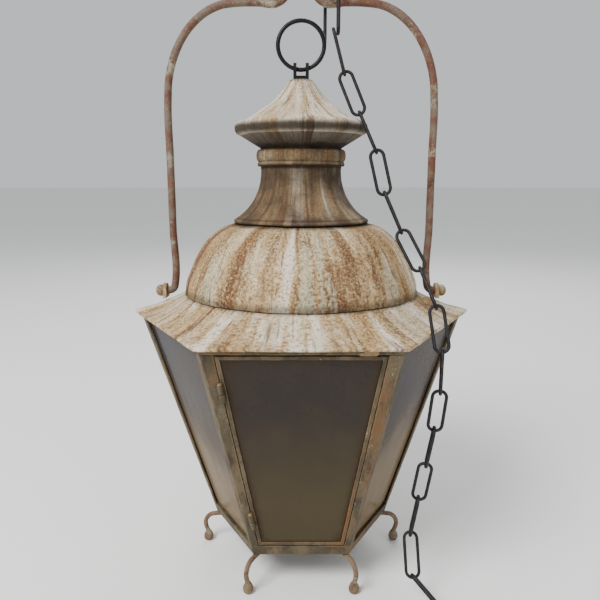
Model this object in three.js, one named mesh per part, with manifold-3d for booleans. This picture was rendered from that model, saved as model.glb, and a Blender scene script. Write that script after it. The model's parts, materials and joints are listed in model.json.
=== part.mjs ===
// A six-sided hanging lantern of painted sheet metal: a tapered glazed body with a door, a flared
// roof with a dome, a chimney and a cap, a ring on top, a pivoting bail, six ball feet and a chain.
// Millimetres, +Z up, origin on the lantern's axis at the level of the feet. The door faces -Y.

import * as THREE from 'three';
import { mergeVertices } from 'three/addons/utils/BufferGeometryUtils.js';
import Module from 'manifold-3d';

const wasm = await Module();
wasm.setup();

// ---- driving dimensions ----

const GAP = 0.3;
const SIDES = 6;
const SIDE_ANGLE = Math.PI / 3;
const HALF_ANGLE = Math.PI / 6;
const HEX_FLAT = Math.cos(HALF_ANGLE);

const BASE_Z = 40;
const BASE_R = 107;
const LEAN = 0.324;
const BASE_TOP = 53;
const RAIL_LOW = 295;
const RAIL_TOP = 303.2;
const RAIL_DEPTH = 10;
const FRONT = 4;
const FACE_TILT = Math.atan(LEAN * HEX_FLAT);

const POST_WIDTH = 12.5;
const POST_THICK = 3;
const GLASS_THICK = 3;
const GLASS_BACK = POST_THICK + 0.4;
const GLASS_EDGE = 4.6;

const DOOR_THICK = 5;
const DOOR_GAP = 0.8;
const DOOR_BORDER = 4;
const DOOR_LOW = 54.2;
const DOOR_TOP = 293.4;
const HINGE_LIFT = 3.4;
const HINGE_PLACES = [0.16, 0.84];
const BARREL_R = 2.9;
const BARREL_BORE = 1.8;
const BARREL_HALF = 10;
const PIN_R = 1.4;
const BUTTON_X = 56;
const BUTTON_Z = 298.2;

const SKIRT_R = 200;
const SKIRT_LOW = 300;
const SKIRT_EDGE = 304;
const SKIRT_FOOT_Z = 328;
const SHEET = 2;
const DOME_R = 136;
const DOME_LOW = SKIRT_FOOT_Z + GAP;

const NECK_LOW = 407.4;
const NECK_R = 46;
const NECK_TOP = 499;
const COLLAR_LOW = 470.4;
const COLLAR_TOP = 488.6;
const COLLAR_R = 51;
const CAP_LOW = 491;
const CAP_R = 75;
const APEX_Z = 564;
const APEX_R = 12.6;

const STEM_R = 4;
const STEM_LOW = 466;
const CLEVIS_LOW = APEX_Z + GAP;
const EYE_Z = 576.2;
const RING_R = 25.5;
const RING_WIRE = 2.5;
const RING_Z = EYE_Z - 1 + RING_R;

const BAIL_ROD = 4.5;
const BAIL_X = 149;
const PIVOT_Z = 327;
const PIVOT_END = 163.2;
const ARCH_Z = 542;
const SHOULDER_Z = 644;
const SHOULDER_X = 72;
const LOOP_R = 15.5;
const LOOP_Z = 664;
const LUG_X = 158.4;
const LUG_THICK = 4.2;

const FOOT_ROD = 2.9;
const FOOT_R = 119;

const CHAIN_WIRE = 1.8;
const CHAIN_WIDTH = 18;
const CHAIN_PITCH = 44.5;
const CHAIN_PLAY = 0.5;
const LINK_REACH = CHAIN_PITCH / 2 + CHAIN_WIRE + CHAIN_PLAY / 2;
const SADDLE_X = 33.2;
const SADDLE_REACH_X = 6.1;
const SADDLE_REACH_Y = Math.sqrt(LINK_REACH ** 2 - SADDLE_REACH_X ** 2);
const SADDLE_Z = SHOULDER_Z + BAIL_ROD + CHAIN_WIRE + 0.8;
const Z_AXIS = new THREE.Vector3(0, 0, 1);

// ---- materials ----

function paint(color, roughness, metalness) {
  return new THREE.MeshStandardMaterial({ color, roughness, metalness });
}

const paleTin = () => paint(0xc9ae90, 0.8, 0.1);
const darkTin = () => paint(0x6b5431, 0.75, 0.2);
const rustyRod = () => paint(0x7a6657, 0.8, 0.3);
const blackIron = () => paint(0x1d1b1b, 0.55, 0.6);
const chainSteel = () => paint(0x3f3b42, 0.5, 0.7);
const brass = () => paint(0xa0805a, 0.5, 0.7);
const oliveTin = () => paint(0x4c4330, 0.8, 0.2);
const porcelain = () => paint(0xd8d3c6, 0.4, 0);

function dustyGlass() {
  const glass = paint(0x6a625a, 0.25, 0);
  glass.transparent = true;
  glass.opacity = 0.45;
  return glass;
}

// ---- solids, joined and cut ----

function cleaned(geometry) {
  const bare = geometry.clone();
  bare.deleteAttribute('normal');
  bare.deleteAttribute('uv');
  const merged = mergeVertices(bare, 1e-4);
  const index = [];
  for (let i = 0; i < merged.index.count; i += 3) {
    const [a, b, c] = [0, 1, 2].map((k) => merged.index.getX(i + k));
    if (a !== b && b !== c && c !== a) {
      index.push(a, b, c);
    }
  }
  merged.setIndex(index);
  return merged;
}

function solid(geometry) {
  const merged = cleaned(geometry);
  const vertProperties = new Float32Array(merged.attributes.position.array);
  const triVerts = new Uint32Array(merged.index.array);
  return new wasm.Manifold(new wasm.Mesh({ numProp: 3, vertProperties, triVerts }));
}

function fromSolid(body) {
  const mesh = body.getMesh();
  const geometry = new THREE.BufferGeometry();
  geometry.setAttribute('position', new THREE.BufferAttribute(mesh.vertProperties, 3));
  geometry.setIndex(new THREE.BufferAttribute(mesh.triVerts, 1));
  geometry.computeVertexNormals();
  return geometry;
}

function joined(first, ...others) {
  return fromSolid(others.reduce((body, other) => body.add(solid(other)), solid(first)));
}

function cut(first, ...others) {
  return fromSolid(others.reduce((body, other) => body.subtract(solid(other)), solid(first)));
}

// ---- basic shapes ----

// A profile of [radius, height] pairs turned about Z. It runs from the axis to the axis, or is closed.
function turned(profile, segments, start = 0) {
  const points = profile.map(([r, z]) => new THREE.Vector2(r, z));
  return new THREE.LatheGeometry(points, segments, start).rotateX(Math.PI / 2);
}

function closedProfile(points) {
  return [...points, points[0]];
}

// A six-sided turning whose corners lie at 0, 60, ... degrees from +X.
function hexTurned(profile) {
  return turned(profile, SIDES, HALF_ANGLE);
}

function roundSection(radius, sides) {
  const section = new THREE.Shape();
  for (let i = 0; i < sides; i += 1) {
    const angle = (2 * Math.PI * (i + 0.5)) / sides;
    const [x, y] = [radius * Math.cos(angle), radius * Math.sin(angle)];
    if (i === 0) {
      section.moveTo(x, y);
    } else {
      section.lineTo(x, y);
    }
  }
  section.closePath();
  return section;
}

function rod(curve, radius, sides, steps) {
  const options = { extrudePath: curve, steps, bevelEnabled: false };
  return new THREE.ExtrudeGeometry(roundSection(radius, sides), options);
}

// Round wire bent in the XZ plane, from its centres and the outward directions there. A closed
// wire's end joins its start; an open one is capped.
function bentWire(centres, outward, radius, sides, closed) {
  const positions = [];
  centres.forEach((centre, i) => {
    for (let k = 0; k < sides; k += 1) {
      const angle = (2 * Math.PI * (k + 0.5)) / sides;
      const point = outward[i].clone().multiplyScalar(radius * Math.cos(angle)).add(centre);
      positions.push(point.x, radius * Math.sin(angle), point.z);
    }
  });
  const index = [];
  const spans = closed ? centres.length : centres.length - 1;
  for (let i = 0; i < spans; i += 1) {
    const next = ((i + 1) % centres.length) * sides;
    for (let k = 0; k < sides; k += 1) {
      const [a, b] = [i * sides + k, i * sides + ((k + 1) % sides)];
      const [c, d] = [next + k, next + ((k + 1) % sides)];
      index.push(a, b, c, b, d, c);
    }
  }
  const last = spans * sides;
  for (let k = 1; k < sides - 1 && !closed; k += 1) {
    index.push(0, k + 1, k, last, last + k, last + k + 1);
  }
  const geometry = new THREE.BufferGeometry();
  geometry.setAttribute('position', new THREE.Float32BufferAttribute(positions, 3));
  geometry.setIndex(index);
  geometry.computeVertexNormals();
  return geometry;
}

function plate(outline, thickness, back) {
  const options = { depth: thickness, bevelEnabled: false, curveSegments: 6 };
  return new THREE.ExtrudeGeometry(outline, options).translate(0, 0, back);
}

function block(x0, x1, y0, y1, z0, z1) {
  const box = new THREE.BoxGeometry(x1 - x0, y1 - y0, z1 - z0);
  return box.translate((x0 + x1) / 2, (y0 + y1) / 2, (z0 + z1) / 2);
}

function polygon(points) {
  return new THREE.Shape(points.map(([x, y]) => new THREE.Vector2(x, y)));
}

// ---- the tapered body's planes ----

// The body's corner radius at a height.
function bodyR(z) {
  return BASE_R + (z - BASE_Z) * LEAN;
}

// The frame of a side: x along the side, y up the slope, z out of the face.
function sideFrame(side, z) {
  const turn = HALF_ANGLE + side * SIDE_ANGLE;
  const flat = bodyR(z) * HEX_FLAT;
  const [c, s] = [Math.cos(turn), Math.sin(turn)];
  const [ct, st] = [Math.cos(FACE_TILT), Math.sin(FACE_TILT)];
  const along = new THREE.Vector3(-s, c, 0);
  const up = new THREE.Vector3(st * c, st * s, ct);
  const out = new THREE.Vector3(ct * c, ct * s, -st);
  const frame = new THREE.Matrix4().makeBasis(along, up, out);
  return frame.setPosition(flat * c, flat * s, z);
}

function upSlope(zLow, z) {
  return (z - zLow) / Math.cos(FACE_TILT);
}

function flangeWidth(z) {
  return (POST_WIDTH * bodyR(z)) / bodyR(RAIL_LOW);
}

// A sheet panel on a side, between two heights and as wide as the side less an edge at each end.
function panelOutline(zLow, zTop, edge) {
  const low = bodyR(zLow) / 2 - edge(zLow);
  const top = bodyR(zTop) / 2 - edge(zTop);
  const rise = upSlope(zLow, zTop);
  return polygon([[-low, 0], [low, 0], [top, rise], [-top, rise]]);
}

// ---- body ----

function topFrame() {
  return hexTurned(closedProfile([
    [bodyR(RAIL_LOW), RAIL_LOW],
    [bodyR(RAIL_TOP), RAIL_TOP],
    [bodyR(RAIL_TOP) - RAIL_DEPTH, RAIL_TOP],
    [bodyR(RAIL_LOW) - RAIL_DEPTH, RAIL_LOW],
  ]));
}

function bottomFrame() {
  return hexTurned(closedProfile([
    [BASE_R, BASE_Z],
    [bodyR(BASE_TOP), BASE_TOP],
    [95, BASE_TOP],
    [95, 44],
    [88, 44],
    [88, BASE_Z],
  ]));
}

function floorPlate() {
  return hexTurned([[0, 44 + GAP], [94.6, 44 + GAP], [94.6, 46.3], [0, 46.3]]);
}

// A bent corner strip whose two flanges lie on the body's sides and narrow with it.
function cornerStrip(corner) {
  const [low, top] = [BASE_TOP + GAP, RAIL_LOW - GAP];
  const r = bodyR(top);
  const flange = (sign) => {
    const tip = [r - POST_WIDTH / 2, sign * POST_WIDTH * HEX_FLAT];
    const inner = [tip[0] - POST_THICK * HEX_FLAT, tip[1] - (sign * POST_THICK) / 2];
    return [tip, inner];
  };
  const [tipA, innerA] = flange(-1);
  const [tipB, innerB] = flange(1);
  const outline = polygon([[r, 0], tipB, innerB, [r - POST_THICK / HEX_FLAT, 0], innerA, tipA]);
  const strip = plate(outline, top - low, low);
  const place = strip.attributes.position;
  for (let i = 0; i < place.count; i += 1) {
    const scale = bodyR(place.getZ(i)) / r;
    place.setXY(i, place.getX(i) * scale, place.getY(i) * scale);
  }
  return strip.rotateZ(corner * SIDE_ANGLE);
}

function pane() {
  const outline = panelOutline(DOOR_LOW, DOOR_TOP - 0.4, () => GLASS_EDGE);
  return plate(outline, GLASS_THICK, -GLASS_BACK - GLASS_THICK);
}

// ---- door, in the frame of the front side ----

function doorEdge(z) {
  return flangeWidth(z) + DOOR_GAP;
}

// The hinge line runs up the gap between the front left corner strip and the door.
function hingePoint(fraction) {
  const z = DOOR_LOW + fraction * (DOOR_TOP - DOOR_LOW);
  const x = -(bodyR(z) / 2 - flangeWidth(z) - DOOR_GAP / 2);
  return new THREE.Vector3(x, upSlope(DOOR_LOW, z), HINGE_LIFT);
}

// The frame of a hinge: z along the hinge line, x towards the door, y into the lantern.
function hingeFrame(fraction) {
  const along = hingePoint(1).sub(hingePoint(0)).normalize();
  const into = new THREE.Vector3(0, 0, -1);
  const across = new THREE.Vector3().crossVectors(into, along).normalize();
  return new THREE.Matrix4().makeBasis(across, into, along).setPosition(hingePoint(fraction));
}

// Half of a hinge's barrel with the web that ties it to its strip; side is 1 for the door.
function barrel(fraction, side) {
  const [low, top] = side > 0 ? [GAP, BARREL_HALF] : [-BARREL_HALF, -GAP];
  const tube = turned([[0, low], [BARREL_R, low], [BARREL_R, top], [0, top]], 12);
  const reach = HINGE_LIFT + 1;
  const web = side > 0 ? block(0.7, 3.4, 0, reach, low, top) : block(-3.4, -0.7, 0, reach, low, top);
  return [tube, web].map((piece) => piece.applyMatrix4(hingeFrame(fraction)));
}

function bore(fraction) {
  const reach = BARREL_HALF + 1;
  const profile = [[0, -reach], [BARREL_BORE, -reach], [BARREL_BORE, reach], [0, reach]];
  return turned(profile, 12).applyMatrix4(hingeFrame(fraction));
}

function doorFrame() {
  const outline = panelOutline(DOOR_LOW, DOOR_TOP, doorEdge);
  const [low, top] = [DOOR_LOW + DOOR_BORDER, DOOR_TOP - DOOR_BORDER];
  const opening = panelOutline(low, top, (z) => doorEdge(z) + DOOR_BORDER);
  const lift = upSlope(DOOR_LOW, low);
  const points = opening.getPoints().map((p) => new THREE.Vector2(p.x, p.y + lift));
  outline.holes.push(new THREE.Path(points.reverse()));
  const barrels = HINGE_PLACES.flatMap((fraction) => barrel(fraction, 1));
  const whole = joined(plate(outline, DOOR_THICK, -DOOR_THICK), ...barrels);
  return cut(whole, ...HINGE_PLACES.map(bore));
}

function doorGlass() {
  const [low, top] = [DOOR_LOW + DOOR_BORDER + GAP, DOOR_TOP - DOOR_BORDER - GAP];
  const outline = panelOutline(low, top, (z) => doorEdge(z) + DOOR_BORDER + GAP);
  return plate(outline, GLASS_THICK, -GLASS_THICK - 1.2).translate(0, upSlope(DOOR_LOW, low), 0);
}

function hingePin(fraction) {
  const [low, head] = [-BARREL_HALF - 0.6, BARREL_HALF + GAP];
  const profile = [[0, low], [PIN_R, low], [PIN_R, head], [2.4, head], [2, head + 1.6], [0, head + 1.9]];
  return turned(profile, 12).applyMatrix4(hingeFrame(fraction));
}

// The front left corner strip carries the fixed halves of both hinges.
function hingedStrip() {
  const front = sideFrame(FRONT, DOOR_LOW);
  const barrels = HINGE_PLACES.flatMap((fraction) => barrel(fraction, -1));
  const bores = HINGE_PLACES.map(bore);
  const placed = [...barrels, ...bores].map((piece) => piece.applyMatrix4(front));
  const whole = joined(cornerStrip(FRONT), ...placed.slice(0, barrels.length));
  return cut(whole, ...placed.slice(barrels.length));
}

// A flat button with round ends, turned about a rivet near its end.
function turnButton() {
  const [half, length] = [3.2, 13];
  const outline = new THREE.Shape();
  outline.absarc(0, 0, half, HALF_ANGLE * 3, HALF_ANGLE * 9, false);
  outline.absarc(length, 0, half, -HALF_ANGLE * 3, HALF_ANGLE * 3, false);
  outline.closePath();
  const head = turned([[0, 1], [2.3, 1], [2.3, 2.8], [1.4, 3.7], [0, 3.9]], 12);
  return joined(plate(outline, 1.8, GAP), head);
}

// ---- roof ----

// The radius of the roof's six-sided edge in a direction, for a corner radius of one.
function hexEdge(angle) {
  const turn = ((angle % SIDE_ANGLE) + SIDE_ANGLE) % SIDE_ANGLE;
  return HEX_FLAT / Math.cos(turn - HALF_ANGLE);
}

// The skirt blends from a six-sided edge to a round foot and curves up towards the dome.
function skirt() {
  const foot = DOME_R + 1;
  const rise = (s) => SKIRT_EDGE + (SKIRT_FOOT_Z - SKIRT_EDGE) * s ** 1.35;
  const steps = [0.3, 0.6, 0.8, 1];
  const plan = (s) => SKIRT_R + (foot - SKIRT_R) * s;
  const top = steps.map((s) => [plan(s), rise(s)]);
  const under = steps.map((s) => [plan(s) - 1, rise(s) - SHEET]).reverse();
  const profile = closedProfile([
    [SKIRT_R, SKIRT_LOW],
    [SKIRT_R, SKIRT_EDGE],
    ...top,
    [foot - SHEET - 1, SKIRT_FOOT_Z],
    ...under.map(([r, z], i) => (i === 0 ? [foot - SHEET - 1, z] : [r, z])),
    [SKIRT_R - SHEET, SKIRT_EDGE - SHEET],
    [SKIRT_R - SHEET, SKIRT_LOW],
  ]);
  const sheet = turned(profile, 36);
  const place = sheet.attributes.position;
  for (let i = 0; i < place.count; i += 1) {
    const [x, y] = [place.getX(i), place.getY(i)];
    const r = Math.hypot(x, y);
    const share = Math.max(0, (r - foot) / (SKIRT_R - foot));
    const edge = SKIRT_R * hexEdge(Math.atan2(y, x)) - foot;
    const wanted = share > 0 ? foot + share * edge : r;
    place.setXY(i, (x * wanted) / r, (y * wanted) / r);
  }
  return sheet;
}

// A shell profile: an outline and the same outline set in by the sheet's thickness.
function shellProfile(outline, inset) {
  const inner = outline.map(([r, z], i) => [r - inset[i][0], z - inset[i][1]]);
  return closedProfile([...outline, ...inner.reverse()]);
}

function dome() {
  const guide = [[DOME_R, DOME_LOW], [134.4, 339], [128, 356.4], [120.2, 372.6], [109, 388.8],
    [91, 402.2], [74, 407]];
  const points = guide.map(([r, z]) => new THREE.Vector2(r, z));
  const outline = new THREE.SplineCurve(points).getPoints(7).map((p) => [p.x, p.y]);
  const inset = outline.map((_, i) => {
    const turn = (i / (outline.length - 1)) * (Math.PI / 2);
    return [SHEET * Math.cos(turn), SHEET * Math.sin(turn)];
  });
  return turned(shellProfile(outline, inset), 30);
}

function neck() {
  const outline = [[77.6, NECK_LOW], [77.6, NECK_LOW + 3.8], [66.2, 418.6], [55.6, 431], [48.4, 447],
    [45.6, 465], [NECK_R, 472], [NECK_R, NECK_TOP]];
  const inset = [[6, 0], [7, 1.8], [3.4, 1.4], [2.4, 0.8], [2.2, 0], [2.2, 0], [2.2, 0], [2.2, 0]];
  return turned(shellProfile(outline, inset), 24);
}

function neckCollar() {
  const middle = (COLLAR_LOW + COLLAR_TOP) / 2;
  const half = (COLLAR_TOP - COLLAR_LOW) / 2;
  const inner = NECK_R + GAP;
  const bead = [-1, -0.6, 0, 0.6, 1].map((s) => {
    const swell = Math.sqrt(1 - 0.8 * s * s);
    return [inner + 1.5 + (COLLAR_R - inner - 1.5) * swell, middle + s * half];
  });
  return turned(closedProfile([[inner, COLLAR_LOW], ...bead, [inner, COLLAR_TOP]]), 24);
}

function cap() {
  const hole = STEM_R + 0.5;
  const outline = [[NECK_R + 0.4, CAP_LOW], [68, 504], [CAP_R - 1.4, 507], [CAP_R, 511], [CAP_R - 0.8, 516.8],
    [69.6, 519.2], [60, 522.8], [45.2, 532.2], [32.6, 540.4], [21.2, 553.2], [APEX_R, APEX_Z],
    [hole, APEX_Z]];
  const inner = [[NECK_R + 0.4, CAP_LOW + 2.4], [67, 506.2], [CAP_R - 2.6, 508.8], [CAP_R - 2.4, 511],
    [CAP_R - 2.9, 515.2], [68.4, 517.2], [59.2, 520.8], [44, 530.2], [31, 538.6], [19.4, 551.6],
    [11.4, 561.6], [hole, 561.6]];
  return turned(closedProfile([...outline, ...inner.reverse()]), 24);
}

// A stepped disk riveted on the skirt beside the bail's right foot.
function roofDisk() {
  const profile = [[0, GAP], [7.4, GAP], [7.4, 1.8], [5.6, 2.2], [5.2, 1.6], [3.2, 2.6], [1.6, 3.4],
    [0, 3.6]];
  const turn = new THREE.Quaternion().setFromEuler(new THREE.Euler(0.52, 0.3, 0));
  return turned(profile, 20).applyQuaternion(turn).translate(141, -47, 322.4);
}

// ---- ring, clevis and stem ----

// The stem hangs below the clevis, through the cap, with a stop collar near its foot.
function ringStem() {
  return turned([[0, STEM_LOW], [STEM_R, STEM_LOW], [STEM_R, STEM_LOW + 4], [9, STEM_LOW + 4],
    [9, STEM_LOW + 10], [STEM_R, STEM_LOW + 10], [STEM_R, APEX_Z], [0, APEX_Z]], 16);
}

// A U of flat iron whose two ears carry the ring.
function clevis() {
  const base = block(-8.6, 8.6, -6.5, 6.5, CLEVIS_LOW, CLEVIS_LOW + 3.8);
  const ears = [-1, 1].map((side) => {
    const outline = new THREE.Shape();
    outline.moveTo(-6.5, CLEVIS_LOW + 1);
    outline.lineTo(6.5, CLEVIS_LOW + 1);
    outline.lineTo(6.5, EYE_Z);
    outline.absarc(0, EYE_Z, 6.5, 0, Math.PI, false);
    outline.closePath();
    const ear = plate(outline, 3.6, 0).rotateX(Math.PI / 2).rotateZ(Math.PI / 2);
    return ear.translate(side > 0 ? 5 : -8.6, 0, 0);
  });
  const eye = turned([[0, -10], [3.7, -10], [3.7, 10], [0, 10]], 16);
  const whole = joined(base, ...ears);
  return cut(whole, eye.rotateY(Math.PI / 2).translate(0, 0, EYE_Z));
}

function topRing() {
  const wire = [];
  for (let i = 0; i <= 8; i += 1) {
    const angle = (2 * Math.PI * i) / 8;
    wire.push([RING_R + RING_WIRE * Math.cos(angle), RING_WIRE * Math.sin(angle)]);
  }
  return turned(wire, 28).rotateX(Math.PI / 2).translate(0, 0, RING_Z);
}

// ---- bail ----

function arcPoints(cx, cz, rx, rz, from, to, count) {
  const points = [];
  for (let i = 0; i <= count; i += 1) {
    const angle = from + ((to - from) * i) / count;
    points.push(new THREE.Vector3(cx + rx * Math.cos(angle), 0, cz + rz * Math.sin(angle)));
  }
  return points;
}

// The right half from its pivot stub up to the middle of the loop.
function bailHalf() {
  const bend = 8;
  const quarter = Math.PI / 2;
  return [
    new THREE.Vector3(PIVOT_END, 0, PIVOT_Z),
    ...arcPoints(BAIL_X + bend, PIVOT_Z + bend, bend, bend, -quarter, -2 * quarter, 3),
    new THREE.Vector3(BAIL_X, 0, 400),
    new THREE.Vector3(BAIL_X, 0, 480),
    ...arcPoints(SHOULDER_X, ARCH_Z, BAIL_X - SHOULDER_X, SHOULDER_Z - ARCH_Z, 0, quarter, 7),
    new THREE.Vector3(48, 0, SHOULDER_Z + 0.6),
    new THREE.Vector3(26, 0, SHOULDER_Z),
    new THREE.Vector3(18.4, 0, SHOULDER_Z + 5),
    ...arcPoints(0, LOOP_Z, LOOP_R, LOOP_R, -0.2, quarter, 5),
  ];
}

function bail() {
  const right = bailHalf();
  const left = right.slice(0, -1).reverse().map((p) => new THREE.Vector3(-p.x, 0, p.z));
  const centres = [...right, ...left];
  const outward = centres.map((_, i) => {
    const before = centres[Math.max(i - 1, 0)];
    const way = centres[Math.min(i + 1, centres.length - 1)].clone().sub(before).normalize();
    return new THREE.Vector3(way.z, 0, -way.x);
  });
  return bentWire(centres, outward, BAIL_ROD, 8, false);
}

function lug(side) {
  const outline = new THREE.Shape();
  outline.moveTo(-10, 318.8);
  outline.lineTo(10, 318.8);
  outline.lineTo(9, PIVOT_Z);
  outline.absarc(0, PIVOT_Z, 9, 0, Math.PI, false);
  outline.closePath();
  const hole = new THREE.Path();
  hole.absarc(0, PIVOT_Z, BAIL_ROD + 0.35, 0, 2 * Math.PI, true);
  outline.holes.push(hole);
  const ear = plate(outline, LUG_THICK, 0).rotateX(Math.PI / 2).rotateZ(Math.PI / 2);
  return ear.translate(side > 0 ? LUG_X : -LUG_X - LUG_THICK, 0, 0);
}

function bailKnob(side) {
  const inner = PIVOT_END + GAP;
  const profile = [[0, 0], [6.6, 0], [6.9, 2.5], [6.6, 5], [5.2, 7.2], [2.6, 8.4], [0, 8.7]];
  return turned(profile, 16).rotateY((side * Math.PI) / 2).translate(side * inner, 0, PIVOT_Z);
}

// ---- feet ----

// A round bar that leaves the base's corner, bends down and ends in a ball with a small flat.
function foot(corner) {
  const route = [[98, 36.8], [108, 36.8], [115.5, 35], [120.6, 30], [122.4, 24], [121.4, 18], [FOOT_R, 11]];
  const points = route.map(([r, z]) => new THREE.Vector3(r, 0, z));
  const bar = rod(new THREE.CatmullRomCurve3(points), FOOT_ROD, 8, 12);
  const pear = [[0, 0], [3.2, 0], [5.4, 2.4], [6, 5.6], [5, 9], [3.4, 12.4], [0, 13]];
  const ball = turned(pear, 12).translate(FOOT_R, 0, 0);
  return joined(bar, ball).rotateZ(corner * SIDE_ANGLE);
}

// ---- lampholder, hung in the roof ----

function lampBracket() {
  const bar = block(-76, 76, -9, 9, 400.4, 403.6);
  const hole = turned([[0, 390], [5.2, 390], [5.2, 410], [0, 410]], 12);
  return cut(bar, hole);
}

// A porcelain socket, open at its lower end.
function lampholder() {
  return turned([[0, 378], [13.6, 378], [13.6, 350], [19.5, 350], [19.5, 380], [15, 388], [9, 392],
    [8, 400.1], [0, 400.1]], 24);
}

// ---- chain ----

// A link of round wire: two straight sides and two round ends, lying in the XZ plane about its
// centre, long along Z.
class LinkCurve extends THREE.Curve {
  constructor() {
    super();
    this.turn = CHAIN_WIDTH / 2 - CHAIN_WIRE;
    this.straight = CHAIN_PITCH + 2 * CHAIN_WIRE + CHAIN_PLAY - 2 * this.turn;
  }

  getPoint(t) {
    const arc = Math.PI * this.turn;
    const way = t * 2 * (arc + this.straight);
    const half = this.straight / 2;
    const second = way >= arc + this.straight;
    const along = second ? way - arc - this.straight : way;
    const sign = second ? -1 : 1;
    if (along < this.straight) {
      return new THREE.Vector3(sign * this.turn, 0, sign * (along - half));
    }
    const angle = (along - this.straight) / this.turn;
    const x = this.turn * Math.cos(angle);
    return new THREE.Vector3(sign * x, 0, sign * (half + this.turn * Math.sin(angle)));
  }
}

function linkGeometry() {
  const arcStations = 6;
  const curve = new LinkCurve();
  const arc = Math.PI * curve.turn;
  const around = 2 * (arc + curve.straight);
  const centres = [];
  for (let half = 0; half < 2; half += 1) {
    for (let i = 0; i < arcStations; i += 1) {
      const way = curve.straight + (arc * i) / (arcStations - 1);
      centres.push(curve.getPoint((half * (around / 2) + way) / around));
    }
  }
  const outward = centres.map((centre) => {
    const away = centre.clone();
    away.z -= Math.sign(centre.z) * (curve.straight / 2);
    return away.normalize();
  });
  return bentWire(centres, outward, CHAIN_WIRE, 6, true);
}

// Set a link with its length along a direction, its width across, then rolled about its length.
function placeLink(mesh, centre, direction, across, roll) {
  const along = direction.clone().normalize();
  const flat = new THREE.Vector3().crossVectors(along, across).normalize();
  const side = new THREE.Vector3().crossVectors(flat, along).normalize();
  mesh.quaternion.setFromRotationMatrix(new THREE.Matrix4().makeBasis(side, flat, along));
  mesh.quaternion.multiply(new THREE.Quaternion().setFromAxisAngle(Z_AXIS, roll));
  mesh.position.copy(centre);
  return side;
}

// The route of the chain's long run: down past the cap and the dome, over the skirt's edge, down
// beside the glass and along the ground.
const CHAIN_ROUTE = [
  [34, -35, 608], [46, -38, 563], [62, -44, 524], [78, -55, 486], [88, -61, 442], [104, -73, 403],
  [119, -86, 373], [132, -107, 341], [138, -131, 309], [140, -131, 260], [139, -123, 215],
  [134, -114, 170], [129, -106, 125], [125, -99, 92], [121, -101, 70], [121, -114, 38],
  [127, -130, 17], [147, -143, 7], [167, -150, 5.2], [197, -152, 4.6],
];
const RUN_LINKS = 16;
const FIRST_ROLL = 1.72;

// Joints of the chain, one pitch apart in a straight line, stepped along the route.
function chainJoints() {
  const points = CHAIN_ROUTE.map(([x, y, z]) => new THREE.Vector3(x, y, z));
  const curve = new THREE.CatmullRomCurve3(points, false, 'centripetal');
  const samples = curve.getSpacedPoints(6000);
  const joints = [samples[0]];
  for (const sample of samples) {
    if (sample.distanceTo(joints[joints.length - 1]) >= CHAIN_PITCH) {
      joints.push(sample);
    }
  }
  return joints.slice(0, RUN_LINKS + 1);
}

// ---- assembly ----

const lantern = new THREE.Group();

function add(name, geometry, material, parent = lantern) {
  const mesh = new THREE.Mesh(geometry, material);
  mesh.name = name;
  parent.add(mesh);
  return mesh;
}

function sideGroup(side, z) {
  const group = new THREE.Group();
  group.applyMatrix4(sideFrame(side, z));
  lantern.add(group);
  return group;
}

add('bottom_frame', bottomFrame(), darkTin());
add('floor_plate', floorPlate(), oliveTin());
add('top_frame', topFrame(), darkTin());
for (let corner = 0; corner < SIDES; corner += 1) {
  const strip = corner === FRONT ? hingedStrip() : cornerStrip(corner);
  add(`corner_strip_${corner + 1}`, strip, darkTin());
  add(`foot_${corner + 1}`, foot(corner), rustyRod());
}
for (let side = 0; side < SIDES; side += 1) {
  if (side !== FRONT) {
    add(`glass_pane_${side + 1}`, pane(), dustyGlass(), sideGroup(side, DOOR_LOW));
  }
}

const front = sideGroup(FRONT, DOOR_LOW);
add('door_frame', doorFrame(), darkTin(), front);
add('door_glass', doorGlass(), dustyGlass(), front);
add('door_pin_lower', hingePin(HINGE_PLACES[0]), brass(), front);
add('door_pin_upper', hingePin(HINGE_PLACES[1]), brass(), front);
const button = add('turn_button', turnButton(), brass(), front);
button.position.set(BUTTON_X, upSlope(DOOR_LOW, BUTTON_Z), 0);

add('skirt', skirt(), paleTin());
add('dome', dome(), paleTin());
add('neck', neck(), paleTin());
add('neck_collar', neckCollar(), paleTin());
add('cap', cap(), paleTin());
add('roof_disk', roofDisk(), brass());

add('clevis', clevis(), blackIron());
add('ring_stem', ringStem(), blackIron());
add('top_ring', topRing(), blackIron());

add('bail', bail(), rustyRod());
add('bail_lug_right', lug(1), paleTin());
add('bail_lug_left', lug(-1), paleTin());
add('bail_knob_right', bailKnob(1), rustyRod());
add('bail_knob_left', bailKnob(-1), rustyRod());

add('lamp_bracket', lampBracket(), blackIron());
add('lampholder', lampholder(), porcelain());

// Each link of the long run hooks round the end of the one before it.
const link = linkGeometry();
const joints = chainJoints();
const hook = 2 * CHAIN_WIRE + CHAIN_PLAY;
let across = new THREE.Vector3(1, 0, 0);
let heading = joints[1].clone().sub(joints[0]).normalize();
let end = joints[0].clone().addScaledVector(heading, hook / 2);
for (let i = 0; i < RUN_LINKS; i += 1) {
  const next = joints[i + 1].clone().sub(joints[i]).normalize();
  const bisector = heading.clone().add(next).normalize();
  const start = end.clone().addScaledVector(bisector, -hook / bisector.dot(next));
  const centre = start.clone().addScaledVector(next, LINK_REACH);
  const mesh = add(`chain_link_${String(i + 4).padStart(2, '0')}`, link, chainSteel());
  const roll = i % 2 === 0 ? FIRST_ROLL : FIRST_ROLL - Math.PI / 2;
  across = placeLink(mesh, centre, next, across, roll);
  heading = next;
  end = centre.addScaledVector(next, LINK_REACH);
}

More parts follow.
